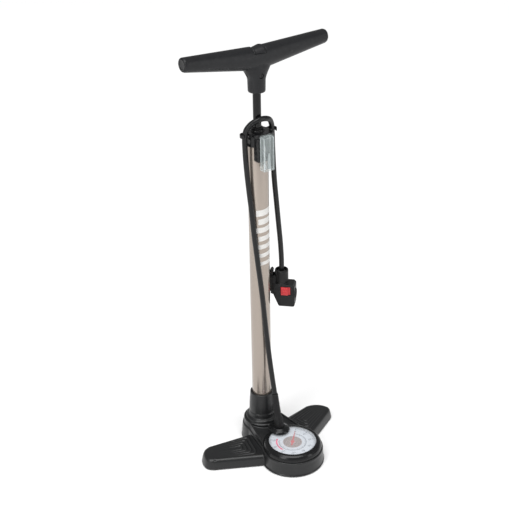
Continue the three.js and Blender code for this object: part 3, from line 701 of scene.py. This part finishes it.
def make_foot():
    collar = turned("foot_shell", softened([
        (0, FLOOR_GAP), (34, FLOOR_GAP), (31, 12), (28.4, 23), (27.4, 33.4), (27.3, 35.2),
        (25.7, 35.6), (25.1, 39.2), (23.9, 40.6), (21.6, 41.2), (21.2, 43), (20.9, 48.4),
        (20.1, 49.6), (19.8, 62), (18.5, 79), (18.2, COLLAR_TOP), (0, COLLAR_TOP),
    ], 0.8, 3))
    drum = turned("drum", softened([
        (0, FLOOR_GAP), (48.8, FLOOR_GAP), (48.8, 3.2), (47.5, 4.2), (46.7, 20.6), (46.9, 22.4),
        (46.2, DRUM_TOP), (0, DRUM_TOP),
    ], 0.6, 3), y=GAUGE_Y, segments=128)
    wall = keyhole_wall()
    parts = [drum, wall]
    for side in (-1, 1):
        parts.append(wing(side))
        parts.extend(wing_ribs(side))
    joined(collar, *parts)

    # The barrel's socket, the gauge's ledge and well, the stem's hole and two pads' seats.
    tools = [
        cylinder(BARREL.r + SOCKET_SLACK, BARREL_SEAT_Z, 90),
        cylinder(45.5, DRUM_TOP + 0.2, 60, y=GAUGE_Y, segments=128),
        cylinder(42.5, 4.4, 60, y=GAUGE_Y, segments=128),
        cylinder(3.8, 18, 60, y=STEM_Y, segments=32),
        cylinder(14.3, 0, PAD_SEAT_Z),
        cylinder(12.3, 0, PAD_SEAT_Z, y=GAUGE_Y - 30),
    ]
    for side in (-1, 1):
        pad = Place("right_pad" if side > 0 else "left_pad")
        tools.append(cylinder(10.3, 0, PAD_SEAT_Z, pad.x, pad.y))
        # A dimple at the front of the tip, a groove along the front and a pocket below.
        x_pit, y_pit = on_wing(side, 1.0, -0.12)
        tools.append(turned(
            "tool", [(0, 15), (1.9, 15), (2.6, 19), (0, 19)], x=x_pit, y=y_pit, segments=32,
        ))
        groove = [(*on_wing(side, u / 12, -0.09), WING_TOP) for u in range(13)]
        tools.append(swept("tool", groove, circle_section(1.0, 12)))
        x = (52, 84) if side > 0 else (-84, -52)
        tools.append(drafted("tool", round_rect(x, (-44, -9), 6), [(0, 0), (6.5, 1)]))
    cut(collar, *tools)
    moulded(collar, voxel=0.58, rounds=2, keep=0.35)
    piece(collar, FOOT_PLASTIC, "root", "base_shell")


def make_pads():
    for node_name in ("hub_pad", "front_pad", "left_pad", "right_pad"):
        at = Place(node_name)
        profile = disc_profile(at.r, at.z0, at.z1, 0.7)
        pad = turned(node_name + "_rubber", profile, x=at.x, y=at.y, segments=72)
        piece(smooth(pad), BLACK_RUBBER, "root", node_name)


make_foot()
make_pads()


# ---------------- gauge
def make_bezel():
    profile = [
        (LENS.r + 0.3, 31.8), (LENS.r + 0.3, 34), (36.3, 34), (36.3, BEZEL.z1 - 0.2),
        (36.9, BEZEL.z1), (38.4, BEZEL.z1), (40.4, 34), (42.4, 32.5), (43.9, 30.2), (44.7, 27.8),
        (45, 25.6), (45, BEZEL.z0), (42.4, BEZEL.z0), (42.4, 30), (39.5, 30), (39.5, 31.8),
    ]
    bezel = turned("gauge_bezel", softened(profile, 0.7, 4, closed=True), y=GAUGE_Y, segments=160)
    piece(smooth(bezel), TRIM_PLASTIC, "root", "bezel")
    lens = turned(
        "gauge_lens", disc_profile(LENS.r, LENS.z0, LENS.z1, 0.3), y=GAUGE_Y, segments=128,
    )
    piece(smooth(lens), LENS_CLEAR, "root", "lens", slot="clear_plastic")


PRINT_THICKNESS = 0.06
SCALE_STEPS = 80
SCALE_EDGE_R = 34.8
INNER_STEPS = 55
INNER_EDGE_R = 20.9
NUMBER_COUNT = 9
NUMBER_STEP = 20
NUMBER_R = 27.4
NUMBER_SIZE = 5.2
ZERO_HEADING = 45
SCALE_SWEEP = 270
HUB_R = 14.6
HUB_HOLE_R = 3.9


def ring_patch(r0, r1, start, end, steps):
    """A thin printed band on the dial between two headings."""
    outline = arc(0, GAUGE_Y, r1, start, end, steps) + arc(0, GAUGE_Y, r0, end, start, steps)
    return plate("print", outline, DIAL.z1, DIAL.z1 + PRINT_THICKNESS)


def scale_line(reach, edge, heading, half):
    return ring_patch(reach, edge, heading - half, heading + half, 1)


def heading_at(share):
    """The needle's heading in degrees at a share of the scale."""
    return ZERO_HEADING - SCALE_SWEEP * share


def text_mesh(text, x, y, z):
    """Printed digits, upright for a reader on the barrel's side of the gauge."""
    curve = bpy.data.curves.new("digits", "FONT")
    curve.body = text
    curve.size = NUMBER_SIZE * MM
    curve.align_x = "CENTER"
    curve.align_y = "CENTER"
    curve.extrude = 0.03 * MM
    curve.resolution_u = 3
    temp = added("digits", curve)
    bpy.context.view_layer.update()
    depsgraph = bpy.context.evaluated_depsgraph_get()
    mesh = bpy.data.meshes.new_from_object(temp.evaluated_get(depsgraph))
    bpy.data.objects.remove(temp)
    mesh.transform(shift(x, y, z) @ Matrix.Rotation(math.pi, 4, "Z"))
    return added("digits", mesh)


def make_dial():
    face = turned("dial_face", softened([
        (1.7, DIAL.z0), (DIAL.r, DIAL.z0), (DIAL.r, DIAL.z1), (1.7, DIAL.z1),
    ], 0.1, 2, closed=True), y=GAUGE_Y, segments=128)
    piece(smooth(face), DIAL_WHITE, "root", "dial")

    top = DIAL.z1
    ink = []
    for i in range(SCALE_STEPS + 1):
        reach, half = (30.6, 0.75) if i % 10 == 0 else (32.2, 0.3)
        ink.append(scale_line(reach, SCALE_EDGE_R, heading_at(i / SCALE_STEPS), half))
    for i in range(INNER_STEPS + 1):
        reach, half = (18.2, 0.8) if i % 5 == 0 else (19.3, 0.45)
        ink.append(scale_line(reach, INNER_EDGE_R, heading_at(i / INNER_STEPS), half))
    for r0, r1 in ((34.6, 35.3), (20.8, 21.4)):
        ink.append(ring_patch(r0, r1, heading_at(1), heading_at(0), 80))
    for i in range(NUMBER_COUNT):
        angle = math.radians(heading_at(i / (NUMBER_COUNT - 1)))
        x, y = NUMBER_R * math.cos(angle), GAUGE_Y + NUMBER_R * math.sin(angle)
        ink.append(text_mesh(str(NUMBER_STEP * i), x, y, top + 0.04))
    piece(merged("dial_scale", ink), DIAL_INK, "root", slot="dial_white")

    zone = ring_patch(23.2, 25.6, 125, 196, 40)
    zone.name = "dial_red_zone"
    piece(zone, DIAL_RED, "root", slot="red_plastic")

    hub = turned("dial_centre", softened([
        (HUB_HOLE_R, top), (HUB_R, top), (HUB_R, top + 0.12), (HUB_HOLE_R, top + 0.12),
    ], 0.05, 2, closed=True), y=GAUGE_Y)
    piece(smooth(hub), DIAL_HUB, "root", slot="dial_white")


def make_needle():
    needle_at = Place("needle")
    z0, z1 = needle_at.z0, needle_at.z1
    heading = math.radians(heading_at(0))
    boss = turned("gauge_pointer", softened([
        (0, z0), (3.4, z0), (3.2, z1 - 0.2), (2.2, z1), (0, z1),
    ], 0.3, 4), segments=64)
    blade = plate("blade", [
        (-9, -1.2), (0, -1.5), (27, -0.3), (27, 0.3), (0, 1.5), (-9, 1.2),
    ], z0, z1 - 0.2, 0.12)
    joined(boss, blade)
    moved(boss, shift(0, GAUGE_Y, 0) @ Matrix.Rotation(heading, 4, "Z"))
    piece(smooth(boss, 30), RED_PLASTIC, "gauge_needle", "needle")


make_bezel()
make_dial()
make_needle()


# ---------------- hose turret and boot
ELBOW_Z = 34.9
ELBOW_Y = -46.6
BOOT_Y = -46
BOOT_SIDES = 64


def make_turret():
    turret = turned("hose_elbow", softened([
        (0, ELBOW_Z), (15.4, ELBOW_Z), (15.4, 36.6), (14.2, 38.4), (11, 40), (9, TURRET.z1),
        (0, TURRET.z1),
    ], 0.8, 4), y=ELBOW_Y)
    arm = block("arm", (-5, 5), (-46, -27.2), (ELBOW_Z, 39.4), 1.0)
    joined(turret, arm, cylinder(3.4, TURRET.z0, 38, y=STEM_Y, segments=32))
    piece(smooth(turret), TRIM_PLASTIC, "root", "hose_turret")

    boot_at = Place("hose_boot")
    foot = Vector((0, BOOT_Y, boot_at.z0))
    tip = Vector(HOSE_ROUTE[0]) / MM - Vector((0, 0, 0.2))
    lean = (tip - foot).normalized()
    stations = [
        (0, 7.0), (0.005, 7.2), (0.06, 7.2), (0.24, 7.0), (0.26, 6.8), (0.31, 5.7), (0.34, 5.5),
        (0.5, 5.3), (0.7, 5.1), (0.86, 5.0), (0.97, 4.9), (0.98, 4.8), (0.985, 4.5),
    ]
    rings = []
    for share, r in stations:
        normal = Vector((0, 0, 1)).lerp(lean, min(1.0, share * 2)).normalized()
        across = normal.cross(Vector((1, 0, 0))).normalized()
        other = across.cross(normal)
        centre = foot.lerp(tip, share)
        rings.append([
            tuple(centre + other * r * math.cos(a) + across * r * math.sin(a))
            for a in [2 * math.pi * i / BOOT_SIDES for i in range(BOOT_SIDES)]
        ])
    boot = lofted("hose_strain_relief", rings)
    piece(smooth(boot, 40), BLACK_RUBBER, "root", "hose_boot")


make_turret()


# ---------------- barrel
MARK_Z = (309, 401)
MARK_COUNT = 7
MARK_HALF_DEG = 50
MARK_SHORTER_DEG = 12
MARK_SLANT = 3
BARREL_WALL = 1.5


def make_barrel():
    profile = ring_profile(BARREL.r - BARREL_WALL, BARREL.r, BARREL.z0, BARREL.z1, 0.3)
    tube = turned("barrel_tube", profile, segments=128)
    piece(smooth(tube), BARREL_PAINT, "root", "barrel")


def barrel_band(z0, z1, start, end, slant):
    """A thin printed patch around the barrel, with slanted ends."""
    steps = 28
    shares = [i / steps for i in range(steps + 1)]
    outline = [(start + (end - start) * share, z0 + slant * share) for share in shares]
    outline += [(start + (end - start) * share, z1 + slant * share) for share in shares[::-1]]
    rings = [
        [(r * math.cos(math.radians(a)), r * math.sin(math.radians(a)), z) for a, z in outline]
        for r in (BARREL.r - 0.02, BARREL.r + 0.08)
    ]
    count = len(outline)
    vertices = rings[0] + rings[1]
    faces = []
    for i in range(count):
        j = (i + 1) % count
        faces.append((i, j, count + j, count + i))
    for i in range(steps):
        quad = (i, i + 1, count - 2 - i, count - 1 - i)
        faces.append(quad)
        faces.append(tuple(count + corner for corner in quad))
    return from_faces("mark", vertices, faces)


def make_marks():
    pitch = (MARK_Z[1] - MARK_Z[0]) / MARK_COUNT
    marks = []
    for i in range(MARK_COUNT):
        low = MARK_Z[0] + pitch * i
        thick = pitch * (0.42 + 0.05 * i)
        start = -90 - MARK_HALF_DEG + (MARK_SHORTER_DEG if i % 2 else 0)
        marks.append(barrel_band(low, low + thick, start, -90 + MARK_HALF_DEG, MARK_SLANT))
    piece(smooth(merged("barrel_marks", marks)), MARK_WHITE, "root", slot="barrel_paint")


make_barrel()
make_marks()


# ---------------- top cap
CAP = Place("top_cap")
EAR_X = 23
EAR_Y = -2.5
CAP_TOP = 514
FLANGE_Z = 508.5
SKIRT_R = 17.4
EAR_R = 7.2
ABOVE_CAP = 530
ROD_BORE_R = 6.15


def make_cap():
    cap = turned("cap_body", disc_profile(SKIRT_R, CAP.z0, CAP_TOP, 0.6, 3))
    flange = plate("flange", round_rect((-15.5, 15.5), (-20.6, 14), 6), FLANGE_Z, CAP_TOP, 0.8)
    lip = turned("lip", softened([
        (0, 512), (10.2, 512), (9.9, 515.2), (9.2, 516.3), (0, 516.3),
    ], 0.6))
    parts = [flange, lip]
    for side in (-1, 1):
        x = side * EAR_X
        profile = disc_profile(EAR_R, FLANGE_Z, CAP_TOP, 0.8, 3)
        parts.append(turned("ear", profile, x=x, y=EAR_Y, segments=64))
        span = (12, x) if side > 0 else (x, -12)
        parts.append(block("bridge", span, (EAR_Y - 6, EAR_Y + 6), (FLANGE_Z, CAP_TOP), 0.5))
    joined(cap, *parts)
    # The barrel's and the rod's holes, then each ear's hook, its mouth and a window.
    tools = [
        cylinder(BARREL.r + 0.3, 480, 506.3),
        cylinder(6.5, 500, ABOVE_CAP),
    ]
    for side in (-1, 1):
        x = side * EAR_X
        tools.append(cylinder(5.2, 500, ABOVE_CAP, x, EAR_Y))
        tools.append(block("tool", (x - 4.4, x + 4.4), (EAR_Y - 12, EAR_Y), (500, ABOVE_CAP)))
        window = (16, 19) if side > 0 else (-19, -16)
        tools.append(block("tool", window, (-5.6, 5.6), (497, 504.2)))
    cut(cap, *tools)
    moulded(cap, voxel=0.36, rounds=3, keep=0.4)
    piece(cap, TRIM_PLASTIC, "root", "top_cap")


def make_guide():
    wiper = Place("rod_wiper")
    profile = ring_profile(ROD_BORE_R, wiper.r, wiper.z0, wiper.z1, 0.5)
    seal = turned("wiper_seal", profile, segments=72)
    piece(smooth(seal), BLACK_RUBBER, "root", "rod_wiper")
    guide = Place("rod_guide")
    profile = ring_profile(ROD_BORE_R, guide.r, guide.z0, guide.z1, 0.4)
    bush = turned("guide_bush", profile, segments=72)
    piece(smooth(bush), WHITE_NYLON, "root", "rod_guide")


make_cap()
make_guide()


# ---------------- adapter case
CASE = Place("adapter_case")
LID = Place("case_lid")
HOLDER = Place("case_holder")
CASE_WALL = 1.2
CASE_CORNER = 1.6
EDGE_HIGHLIGHT_IN = 0.9
EDGE_HIGHLIGHT_BAND = 0.6


def footprint(place, inwards, corner):
    """The place's box seen from above, moved inwards, with round corners."""
    x = (place.x0 + inwards, place.x1 - inwards)
    return round_rect(x, (place.y0 + inwards, place.y1 - inwards), corner)


def make_case():
    holder = plate("case_bracket", footprint(HOLDER, 0, 1.2), HOLDER.z0, HOLDER.z1, 0.5)
    cut(holder, cylinder(BARREL.r + 0.3, 470, 494), cylinder(SKIRT_R + 0.3, 493.2, 520))
    piece(smooth(holder, 30), TRIM_PLASTIC, "root", "case_holder")

    shell = plate("case_shell", footprint(CASE, 0, CASE_CORNER), CASE.z0, CASE.z1, 0.4)
    cut(shell, plate(
        "tool", footprint(CASE, CASE_WALL, 0.8), CASE.z0 + CASE_WALL, CASE.z1 + 2,
    ))
    piece(smooth(shell, 30), CLEAR_PLASTIC, "adapter_box", "adapter_case")

    # Painted highlight along the case's edges: rods in its corners and bands round its walls,
    # lighter and more opaque than the walls.
    edges = []
    for x in (CASE.x0 + 0.8, CASE.x1 - 0.8):
        for y in (CASE.y0 + 0.8, CASE.y1 - 0.8):
            edges.append(cylinder(0.85, CASE.z0 + 0.2, CASE.z1, x, y, segments=16))
    for z in (CASE.z0 + 0.5, CASE.z1 - 0.7):
        band = plate("edge", footprint(CASE, -0.1, CASE_CORNER), z, z + EDGE_HIGHLIGHT_BAND)
        gap = (CASE.x0 + EDGE_HIGHLIGHT_IN, CASE.x1 - EDGE_HIGHLIGHT_IN), (CASE.y0 + EDGE_HIGHLIGHT_IN, CASE.y1 - EDGE_HIGHLIGHT_IN)
        edges.append(cut(band, block("tool", *gap, (z - 1, z + 2))))
    piece(merged("case_edge_highlights", edges), CLEAR_EDGE_HIGHLIGHT, "adapter_box", slot="clear_plastic")

    lid = plate("case_cover", footprint(LID, 0, CASE_CORNER), LID.z0, LID.z1, 0.5)
    piece(smooth(lid, 30), CLEAR_PLASTIC, "adapter_lid", "case_lid")

    at = Place("ball_needle")
    profile = [
        (0, 0), (2.2, 0), (2.2, 3), (1.8, 3.4), (2.2, 3.8), (2.2, 6.8), (1.8, 7.2), (2.2, 7.6),
        (2.2, 9), (0.8, 10.6), (0.8, 34), (0, 34.6),
    ]
    pin = turned("ball_adapter", softened(profile, 0.3, 3), at.x, at.y, at.z0, 48)
    piece(smooth(pin), STEEL, "adapter_box", "ball_needle")
    at = Place("cone_nozzle")
    profile = [(0, 0), (2.6, 0), (2.6, 8), (2.1, 8.6), (2.1, 10), (1.2, 22), (0, 22.4)]
    nozzle = turned("cone_adapter", softened(profile, 0.3, 3), at.x, at.y, at.z0, 48)
    piece(smooth(nozzle), GREY_NYLON, "adapter_box", "cone_nozzle", slot="white_nylon")


make_case()


# ---------------- plunger
ROD = Place("piston_rod")
PISTON_R = 13.1
GROOVE_R = 9.6


def make_plunger():
    rod = turned("plunger_rod", softened([
        (0, ROD.z0), (3, ROD.z0), (3, 81.9), (ROD.r, 81.9), (ROD.r, ROD.z1), (4.7, ROD.z1),
        (4.7, 93.9), (0, 93.9),
    ], 0.4, 3))
    piece(smooth(rod), ROD_STEEL, "handle_bar", "piston_rod")

    piston = Place("piston")
    disc = turned("plunger_piston", softened([
        (ROD_BORE_R, piston.z0), (12.4, piston.z0), (PISTON_R, 84), (PISTON_R, 86),
        (GROOVE_R, 86), (GROOVE_R, 92.4), (PISTON_R, 92.4), (PISTON_R, 98), (12, piston.z1),
        (ROD_BORE_R, piston.z1),
    ], 0.4, 3, closed=True))
    piece(smooth(disc), WHITE_NYLON, "plunger", "piston")
    cup = turned("plunger_cup", softened([
        (9.9, 86.3), (12.6, 86.3), (13.2, 92.1), (12, 92.1), (11.4, 88.4), (9.9, 88.4),
    ], 0.3, 3, closed=True))
    piece(smooth(cup), BLACK_RUBBER, "plunger", "piston_cup")
    stop = Place("piston_bumper")
    profile = ring_profile(ROD_BORE_R, stop.r, stop.z0, stop.z1, 0.8)
    bumper = turned("plunger_bumper", profile)
    piece(smooth(bumper), BLACK_RUBBER, "plunger", "piston_bumper")


make_plunger()


# ---------------- handle
HANDLE = Place("handle")
SCREW_Z = 594
CAP_SEAT_Z = 627.8
CROWN_LOW = 625.5
# The bar's top, bottom and half depth at its middle, and how each changes to its ends.
BAR_TOP, TOP_RISE = 633, 4.6
BAR_BOTTOM, BOTTOM_RISE = 601, 17
BAR_DEPTH, DEPTH_TAPER = 14, 4.2
RING_SIDES = 64


def bar_ring(x, shrink):
    """The bar's section at x, fuller above its middle than an ellipse."""
    share = abs(x) / HANDLE.x1
    top = BAR_TOP + TOP_RISE * share - shrink
    bottom = BAR_BOTTOM + BOTTOM_RISE * max(0.0, (share - 0.1) / 0.9) + shrink
    depth = BAR_DEPTH - DEPTH_TAPER * share - shrink
    points = []
    for i in range(RING_SIDES):
        angle = 2 * math.pi * i / RING_SIDES
        flat = 0.9 if math.sin(angle) > 0 else 1.0
        y = depth * math.copysign(abs(math.cos(angle)) ** flat, math.cos(angle))
        z = (top + bottom) / 2 + (top - bottom) / 2 * math.sin(angle)
        points.append((x, y, z))
    return points


def make_handle():
    half = HANDLE.x1
    end = [(0, 2.2), (0.5, 1.2), (1.4, 0.5), (3, 0)]
    stations = [(-half + x, shrink) for x, shrink in end]
    stations += [(half * (i - 20) / 21, 0) for i in range(1, 40)]
    stations += [(half - x, shrink) for x, shrink in reversed(end)]
    bar = lofted("handle_grip", [bar_ring(x, shrink) for x, shrink in stations])
    neck_rings = [
        (569.6, 11.2, 11.2), (570.4, 12.1, 12.1), (572, 12.4, 12.4), (587, 12.7, 12.7),
        (591, 13.8, 12.9), (597, 17.4, 13), (604, 22, 13), (614, 24, 12),
    ]
    neck = lofted("neck", [
        [(rx * c, ry * s, z) for c, s in arc(0, 0, 1, 0, 360, 64)[:-1]] for z, rx, ry in neck_rings
    ])
    joined(bar, neck)
    lay_x = Matrix.Rotation(math.pi / 2, 4, "Y")
    lay_y = Matrix.Rotation(math.pi / 2, 4, "X")
    tools = [
        cylinder(6.1, 560, 604.3),
        block("tool", (-10.4, 10.4), (-20, 20), (CROWN_LOW - 0.3, 645)),
    ]
    for side in (-1, 1):
        start = half - 4 if side > 0 else -half - 2
        tools.append(moved(cylinder(8.1, 0, 6), shift(start, 0, CAP_SEAT_Z) @ lay_x))
        pocket = drafted("tool", [(0, -2.2), (4.5, -2.2), (4.5, 2.2), (0, 2.2)], [(0, 0), (9, 0)])
        pocket_x = 13.6 if side > 0 else -18.1
        tools.append(moved(pocket, shift(pocket_x, 0, 589)))
    for r, depth in ((3.6, 9.2), (2.2, 4)):
        tools.append(moved(cylinder(r, depth, 16), shift(0, 0, SCREW_Z) @ lay_y))
    cut(bar, *tools)
    moulded(bar, voxel=0.55, rounds=3, keep=0.35)
    piece(bar, HANDLE_PLASTIC, "handle_bar", "handle")

    for name in ("left_end_cap", "right_end_cap"):
        at = Place(name)
        outward = 1 if at.x > 0 else -1
        plug = turned("plug", softened([
            (0, -1.6), (7.8, -1.6), (7.8, 1.6), (6.4, 1.6), (5.8, 1.0), (0, 1.0),
        ], 0.4, 4), segments=64)
        turn = Matrix.Rotation(outward * math.pi / 2, 4, "Y")
        moved(plug, shift(at.x, 0, CAP_SEAT_Z) @ turn)
        plug.name = name + "_plug"
        piece(smooth(plug), TRIM_PLASTIC, "handle_bar", name)

    crown = lofted("handle_crown", [bar_ring(x, drop) for x, drop in (
        (-10, 0.5), (-9.2, 0.0), (-7.6, 1.5), (-6.8, 1.6), (5.4, -1.2), (6.4, -1.3), (9.4, -0.7),
        (10, 0),
    )])
    cut(crown, block("tool", (-20, 20), (-30, 30), (590, CROWN_LOW)))
    smooth(beveled(crown, 0.25), 25)
    piece(crown, HANDLE_PLASTIC, "handle_bar", "handle_badge", slot="trim_plastic")

    screw = turned("grip_screw", softened([
        (0, 6.4), (1.9, 6.4), (1.9, 9.5), (3.3, 9.5), (3.2, 11), (2.4, 11.6), (0, 11.6),
    ], 0.3, 3), segments=48)
    across, along, height = (-0.4, 0.4), (-2, 2), (10.6, 13)
    cut(screw, block("tool", across, along, height), block("tool", along, across, height))
    moved(screw, shift(0, 0, SCREW_Z) @ lay_y)
    piece(smooth(screw), DARK_STEEL, "handle_bar", "handle_screw", slot="steel")


make_handle()


# ---------------- pump head
NUT = Place("hose_nut")
# The head is made about the hose's axis, with its mouth along +X, and then turned by this.
HEAD_FRAME = shift(NUT.x, NUT.y, 0) @ Matrix.Rotation(math.radians(-45), 4, "Z")
HEAD_HALF = 10.5
PORT_Z = 246
PORT_X = 21
LEVER_AT = (-13.8, 251)
SWITCH_X, SWITCH_Z = 5.8, 253.4
SWITCH_HALF = 6.6
GRIP_PITCH = 3.0


def along_port(obj):
    """Turns a body made about Z so that it lies along the valve mouth's axis."""
    return moved(obj, shift(0, 0, PORT_Z) @ Matrix.Rotation(math.pi / 2, 4, "Y"))


def pivot_bar(name, r, half, sides, edge=0.0):
    """A round bar across the head at the lever's pivot."""
    return slab(name, arc(*LEVER_AT, r, 0, 360, sides)[:-1], -half, half, edge)


def head_piece(obj, material, body, node_name, slot=None):
    piece(moved(obj, HEAD_FRAME), material, body, node_name, slot=slot)


def make_head():
    sides = [
        (-11.2, 264), (-11.2, 246), (-4, 228.9), (-2.5, 227.5), (19, 227.5), (PORT_X, 229.5),
        (PORT_X, 260.5), (18, 264),
    ]
    body = slab("head_shell", softened(sides, 1.8, 4, closed=True), -HEAD_HALF, HEAD_HALF, 1.3)
    socket = turned("socket", softened([
        (0, 254), (10.3, 254), (10.3, 264.6), (9.9, 265.2), (10.2, 266), (10.2, 284.6),
        (9.5, 286), (0, 286),
    ], 0.5, 3))
    ears = slab("ears", [(-15.8, 247.6), (-15.8, 254.4), (-10, 257), (-10, 245)], -8.6, 8.6, 0.6)
    cheeks = slab("cheeks", softened([
        (-15, 253), (-8, 253), (-8, 277), (-12.4, 277), (-15, 273),
    ], 1.2, 4, closed=True), -8.2, 8.2, 0.8)
    joined(body, socket, ears, cheeks)
    slot_x = (SWITCH_X - 6, SWITCH_X + 13.2)
    slot_z = (SWITCH_Z - SWITCH_HALF - 0.4, SWITCH_Z + SWITCH_HALF + 0.4)
    cut(
        body,
        block("tool", (-20, -11.1), (-5.6, 5.6), (239, 290)),
        block("tool", (-20, -9.6), (-5.6, 5.6), (245.5, 256)),
        pivot_bar("tool", 1.8, 9, 24),
        along_port(cylinder(7.3, 4, 30)),
        turned("tool", [(0, 279.6), (7.8, 279.6), (8.4, 300), (0, 300)]),
        block("tool", slot_x, (-14, -8.2), slot_z),
    )
    moulded(body, voxel=0.36, rounds=2, keep=0.4)
    head_piece(body, HEAD_PLASTIC, "root", "head_body")

    gasket = turned("mouth_gasket", ring_profile(4.2, 7, 5, 12.6, 0.6), segments=72)
    head_piece(smooth(along_port(gasket)), BLACK_RUBBER, "root", "valve_gasket")
    ring = turned("mouth_ring", softened([
        (5.2, 12.9), (7, 12.9), (7, PORT_X + 0.3), (8.6, PORT_X + 0.3), (8.2, PORT_X + 1.1),
        (7, PORT_X + 1.1), (5.2, 15.6),
    ], 0.4, 4, closed=True))
    head_piece(smooth(along_port(ring)), TRIM_PLASTIC, "root", "port_ring")

    nut = turned("hose_lock_nut", [
        (0, 279.9), (7.2, 279.9), (7.2, 282.4), (5.4, 283.9), (0, 283.9),
    ], segments=6)
    head_piece(smooth(beveled(nut, 0.25), 30), DARK_STEEL, "root", "hose_nut", slot="steel")

    x0, x1 = SWITCH_X - 5.6, SWITCH_X + 5.4
    height = (SWITCH_Z - SWITCH_HALF, SWITCH_Z + SWITCH_HALF)
    switch = block("valve_slider", (x0, x1), (-11.8, -8.9), height, 0.6)
    track = block("track", (x0, x1 + 3), (-9.3, -8.5), height, 0.2)
    grips = []
    for k in (-1, 0, 1):
        z = SWITCH_Z + GRIP_PITCH * k
        grips.append(block("grip", (x0 + 1.2, x1 - 1.2), (-12.3, -11), (z - 0.6, z + 0.6), 0.25))
    joined(switch, track, *grips)
    head_piece(smooth(switch, 30), RED_PLASTIC, "valve_switch", "selector_switch")

    outline = softened([
        (-12, 247.8), (-12, 255), (-12.8, 259), (-12.8, 279.5), (-12.2, 283.5), (-14.6, 286.4),
        (-17.4, 284.4), (-17.6, 251), (-15.8, 247.8),
    ], 0.9, 4, closed=True)
    lever = slab("clamp_lever", outline, -5, 5, 0.5)
    grooves = [slab("tool", arc(-17.9, z, 0.9, 0, 360, 12)[:-1], -9, 9) for z in range(266, 283, 4)]
    cut(lever, pivot_bar("tool", 1.85, 9, 24), *grooves)
    head_piece(smooth(lever, 30), HEAD_PLASTIC, "thumb_lever", "head_lever")

    pin = pivot_bar("lever_axle", 1.5, 8.4, 32, 0.3)
    head_piece(smooth(pin), DARK_STEEL, "root", "lever_pin", slot="steel")


make_head()


# ---------------- valve spring
SPRING = Place("check_valve_spring")
SPRING_WIRE = 1.0
SPRING_TURNS = 4
STEPS_PER_TURN = 24


def coil(name, start, end, body, *nodes):
    """The valve spring's turns from start to end, as one wire."""
    mid_r = SPRING.r - SPRING_WIRE / 2
    low = SPRING.z0 + SPRING_WIRE / 2
    pitch = (SPRING.z1 - SPRING.z0 - SPRING_WIRE) / SPRING_TURNS
    steps = round((end - start) * STEPS_PER_TURN)
    line = []
    for i in range(steps + 1):
        at = start + (end - start) * i / steps
        angle = 2 * math.pi * at
        line.append((mid_r * math.cos(angle), mid_r * math.sin(angle), low + pitch * at))
    wire = swept(name, line, circle_section(SPRING_WIRE / 2, 12))
    piece(smooth(wire), STEEL, body, *nodes)


# The top turn moves with the disc, so that the disc never cuts into the spring.
coil("valve_spring_lower", 0, 3, "root", "check_valve_spring")
coil("valve_spring_upper", 3.05, 4, "valve_disc")


# ---------------- pieces kept from the frame
KEPT = {
    "barrel_gasket": BLACK_RUBBER,
    "valve_seat": BRASS,
    "check_valve_disc": BLACK_RUBBER,
    "gauge_case": TRIM_PLASTIC,
    "bourdon_tube": BRASS,
    "gauge_inlet": BRASS,
    "movement_plate": BRASS,
    "sector_gear": BRASS,
    "needle_spindle": STEEL,
    "piston_nut": STEEL,
}
for node_name, kept_finish in KEPT.items():
    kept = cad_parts[node_name]
    for slot in kept.material_slots:
        slot.material = kept_finish


# ---------------- floor and light
FLOOR_HALF = 150.0
FLOOR_COLOUR = (0.93, 0.93, 0.93, 1)
FLOOR_ROUGHNESS = 0.9
SKY_STRENGTH = 0.32
SUN_STRENGTH = 2.5
SUN_ANGLE = math.radians(50)
SUN_TILT = (math.radians(14), math.radians(-12), 0)
LIT_POINT = Vector((0, 0, 0.3))
# The strip lights: name, place, width, height and power.
STRIPS = (
    ("key_light", (-1.9, -0.7, 1.3), 0.7, 1.7, 19),
    ("fill_light", (1.2, -2.0, 1.2), 0.5, 1.7, 9),
)


def make_floor():
    corners = [(-1, -1), (1, -1), (1, 1), (-1, 1)]
    mesh = bpy.data.meshes.new("floor")
    mesh.from_pydata([(x * FLOOR_HALF, y * FLOOR_HALF, 0) for x, y in corners], [], [range(4)])
    floor = added("floor", mesh)
    pale = bpy.data.materials.new("pale_floor")
    pale.use_nodes = True
    shader = pale.node_tree.nodes["Principled BSDF"]
    assign(shader, Base_Color=FLOOR_COLOUR, Roughness=FLOOR_ROUGHNESS)
    floor.data.materials.append(pale)


def make_lights():
    world = bpy.data.worlds.new("studio")
    world.use_nodes = True
    assign(world.node_tree.nodes["Background"], Color=(1, 1, 1, 1), Strength=SKY_STRENGTH)
    bpy.context.scene.world = world
    bpy.context.scene.view_settings.view_transform = "Standard"

    sun = bpy.data.lights.new("sky_light", "SUN")
    sun.energy = SUN_STRENGTH
    sun.angle = SUN_ANGLE
    added("sky_light", sun).rotation_euler = SUN_TILT

    for name, at, width, height, power in STRIPS:
        light = bpy.data.lights.new(name, "AREA")
        light.shape = "RECTANGLE"
        light.size = width
        light.size_y = height
        light.energy = power
        lamp = added(name, light)
        lamp.location = at
        lamp.rotation_euler = (Vector(at) - LIT_POINT).to_track_quat("Z", "Y").to_euler()


make_floor()
make_lights()
